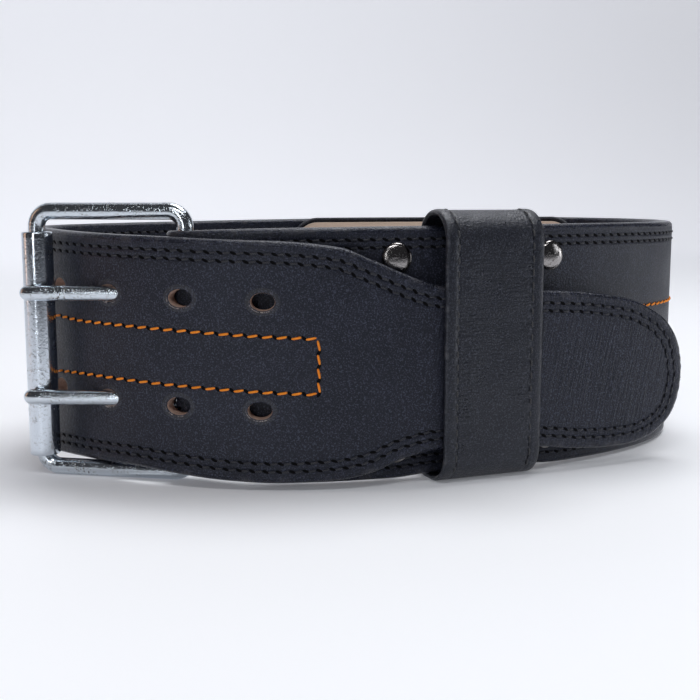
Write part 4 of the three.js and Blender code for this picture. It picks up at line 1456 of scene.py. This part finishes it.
def backdrop_material():
    material, graph, shader = new_material("backdrop_paper")
    cloud = graph.noise(graph.place(), 2.0, 2)
    depth = graph.add("SeparateXYZ", {"Vector": graph.place()}, "Y")
    seen = graph.add("LightPath", {}, "Is Camera Ray")
    # Painted shade: past SHADE_FROM the floor turns dark and stops glowing for every ray but the camera's
    near = graph.math("MAXIMUM", graph.step(depth, SHADE_FULL, SHADE_FROM), seen)
    pale = graph.colours(cloud, colour(0.86, 0.87, 0.9), colour(0.89, 0.9, 0.92))
    graph.feed(shader["Base Color"], graph.colours(near, colour(0.2, 0.205, 0.22), pale))
    shader["Roughness"].default_value = 0.6
    shine = graph.colours(near, colour(0, 0, 0), colour(0.17, 0.175, 0.19))
    shine = graph.colours(graph.step(depth, 0.5, 2.2), shine, colour(0.67, 0.68, 0.73))
    graph.feed(shader["Emission Color"], shine)
    shader["Emission Strength"].default_value = 0.6
    return material


def add_light(name, place, target, width, height, power, tint):
    data = bpy.data.lights.new(name, "AREA")
    data.shape = "RECTANGLE"
    data.size, data.size_y = width, height
    data.energy = power
    data.color = tint
    light = bpy.data.objects.new(name, data)
    light.location = place
    direction = Vector(target) - Vector(place)
    light.rotation_euler = direction.to_track_quat("-Z", "Y").to_euler()
    bpy.context.scene.collection.objects.link(light)


# Lights: name, place and aim in metres, width, height, watts and tint
LIGHTS = (
    ("key_above", (0.4, 0.24, 1.55), (0, 0, 0.05), 1.2, 0.6, 18.5, (0.97, 0.98, 1.0)),
    ("front_top", (-0.2, -0.75, 1.0), (0, 0, 0.06), 0.9, 0.09, 3.6, (0.97, 0.98, 1.0)),
    ("fill_right", (1.25, -0.7, 0.45), (0, 0, 0.05), 0.3, 0.5, 1.2, (0.93, 0.96, 1.0)),
    ("glow_right", (1.0, -0.26, 0.1), (0.18, -0.06, 0.04), 0.2, 0.3, 0.9, (0.95, 0.97, 1.0)),
    ("strip_left", (-0.7, -0.9, 0.35), (0, -0.08, 0.06), 0.08, 0.7, 1.6, (0.95, 0.97, 1.0)),
    ("tan_left", (-0.75, 0.1, 0.25), (-0.14, -0.08, 0.08), 0.12, 0.5, 0.28, (1.0, 0.62, 0.42)),
    ("wall_wash", (0, 1.2, 2.3), (0, 2.8, 0.7), 3.5, 0.6, 12, (0.95, 0.96, 1.0)),
)


def make_studio():
    backdrop = build_backdrop()
    backdrop.data.materials.append(backdrop_material())
    for light in LIGHTS:
        add_light(*light)
    world = bpy.data.worlds.new("studio")
    world.use_nodes = True
    background = world.node_tree.nodes["Background"].inputs
    background["Color"].default_value = colour(0.9, 0.92, 1.0)
    graph = Graph(world.node_tree)
    seen = graph.add("LightPath", {}, "Is Camera Ray")
    graph.feed(background["Strength"], graph.math("MULTIPLY_ADD", seen, 0.8, 0.05))
    bpy.context.scene.world = world
    bpy.context.scene.view_settings.view_transform = "Standard"


grain = grain_group()
pit = pit_material()
make_strap(grain, pit)
make_keeper(grain, pit)
make_buckle()
make_rivets()
make_pad(grain)
make_camera()
make_studio()
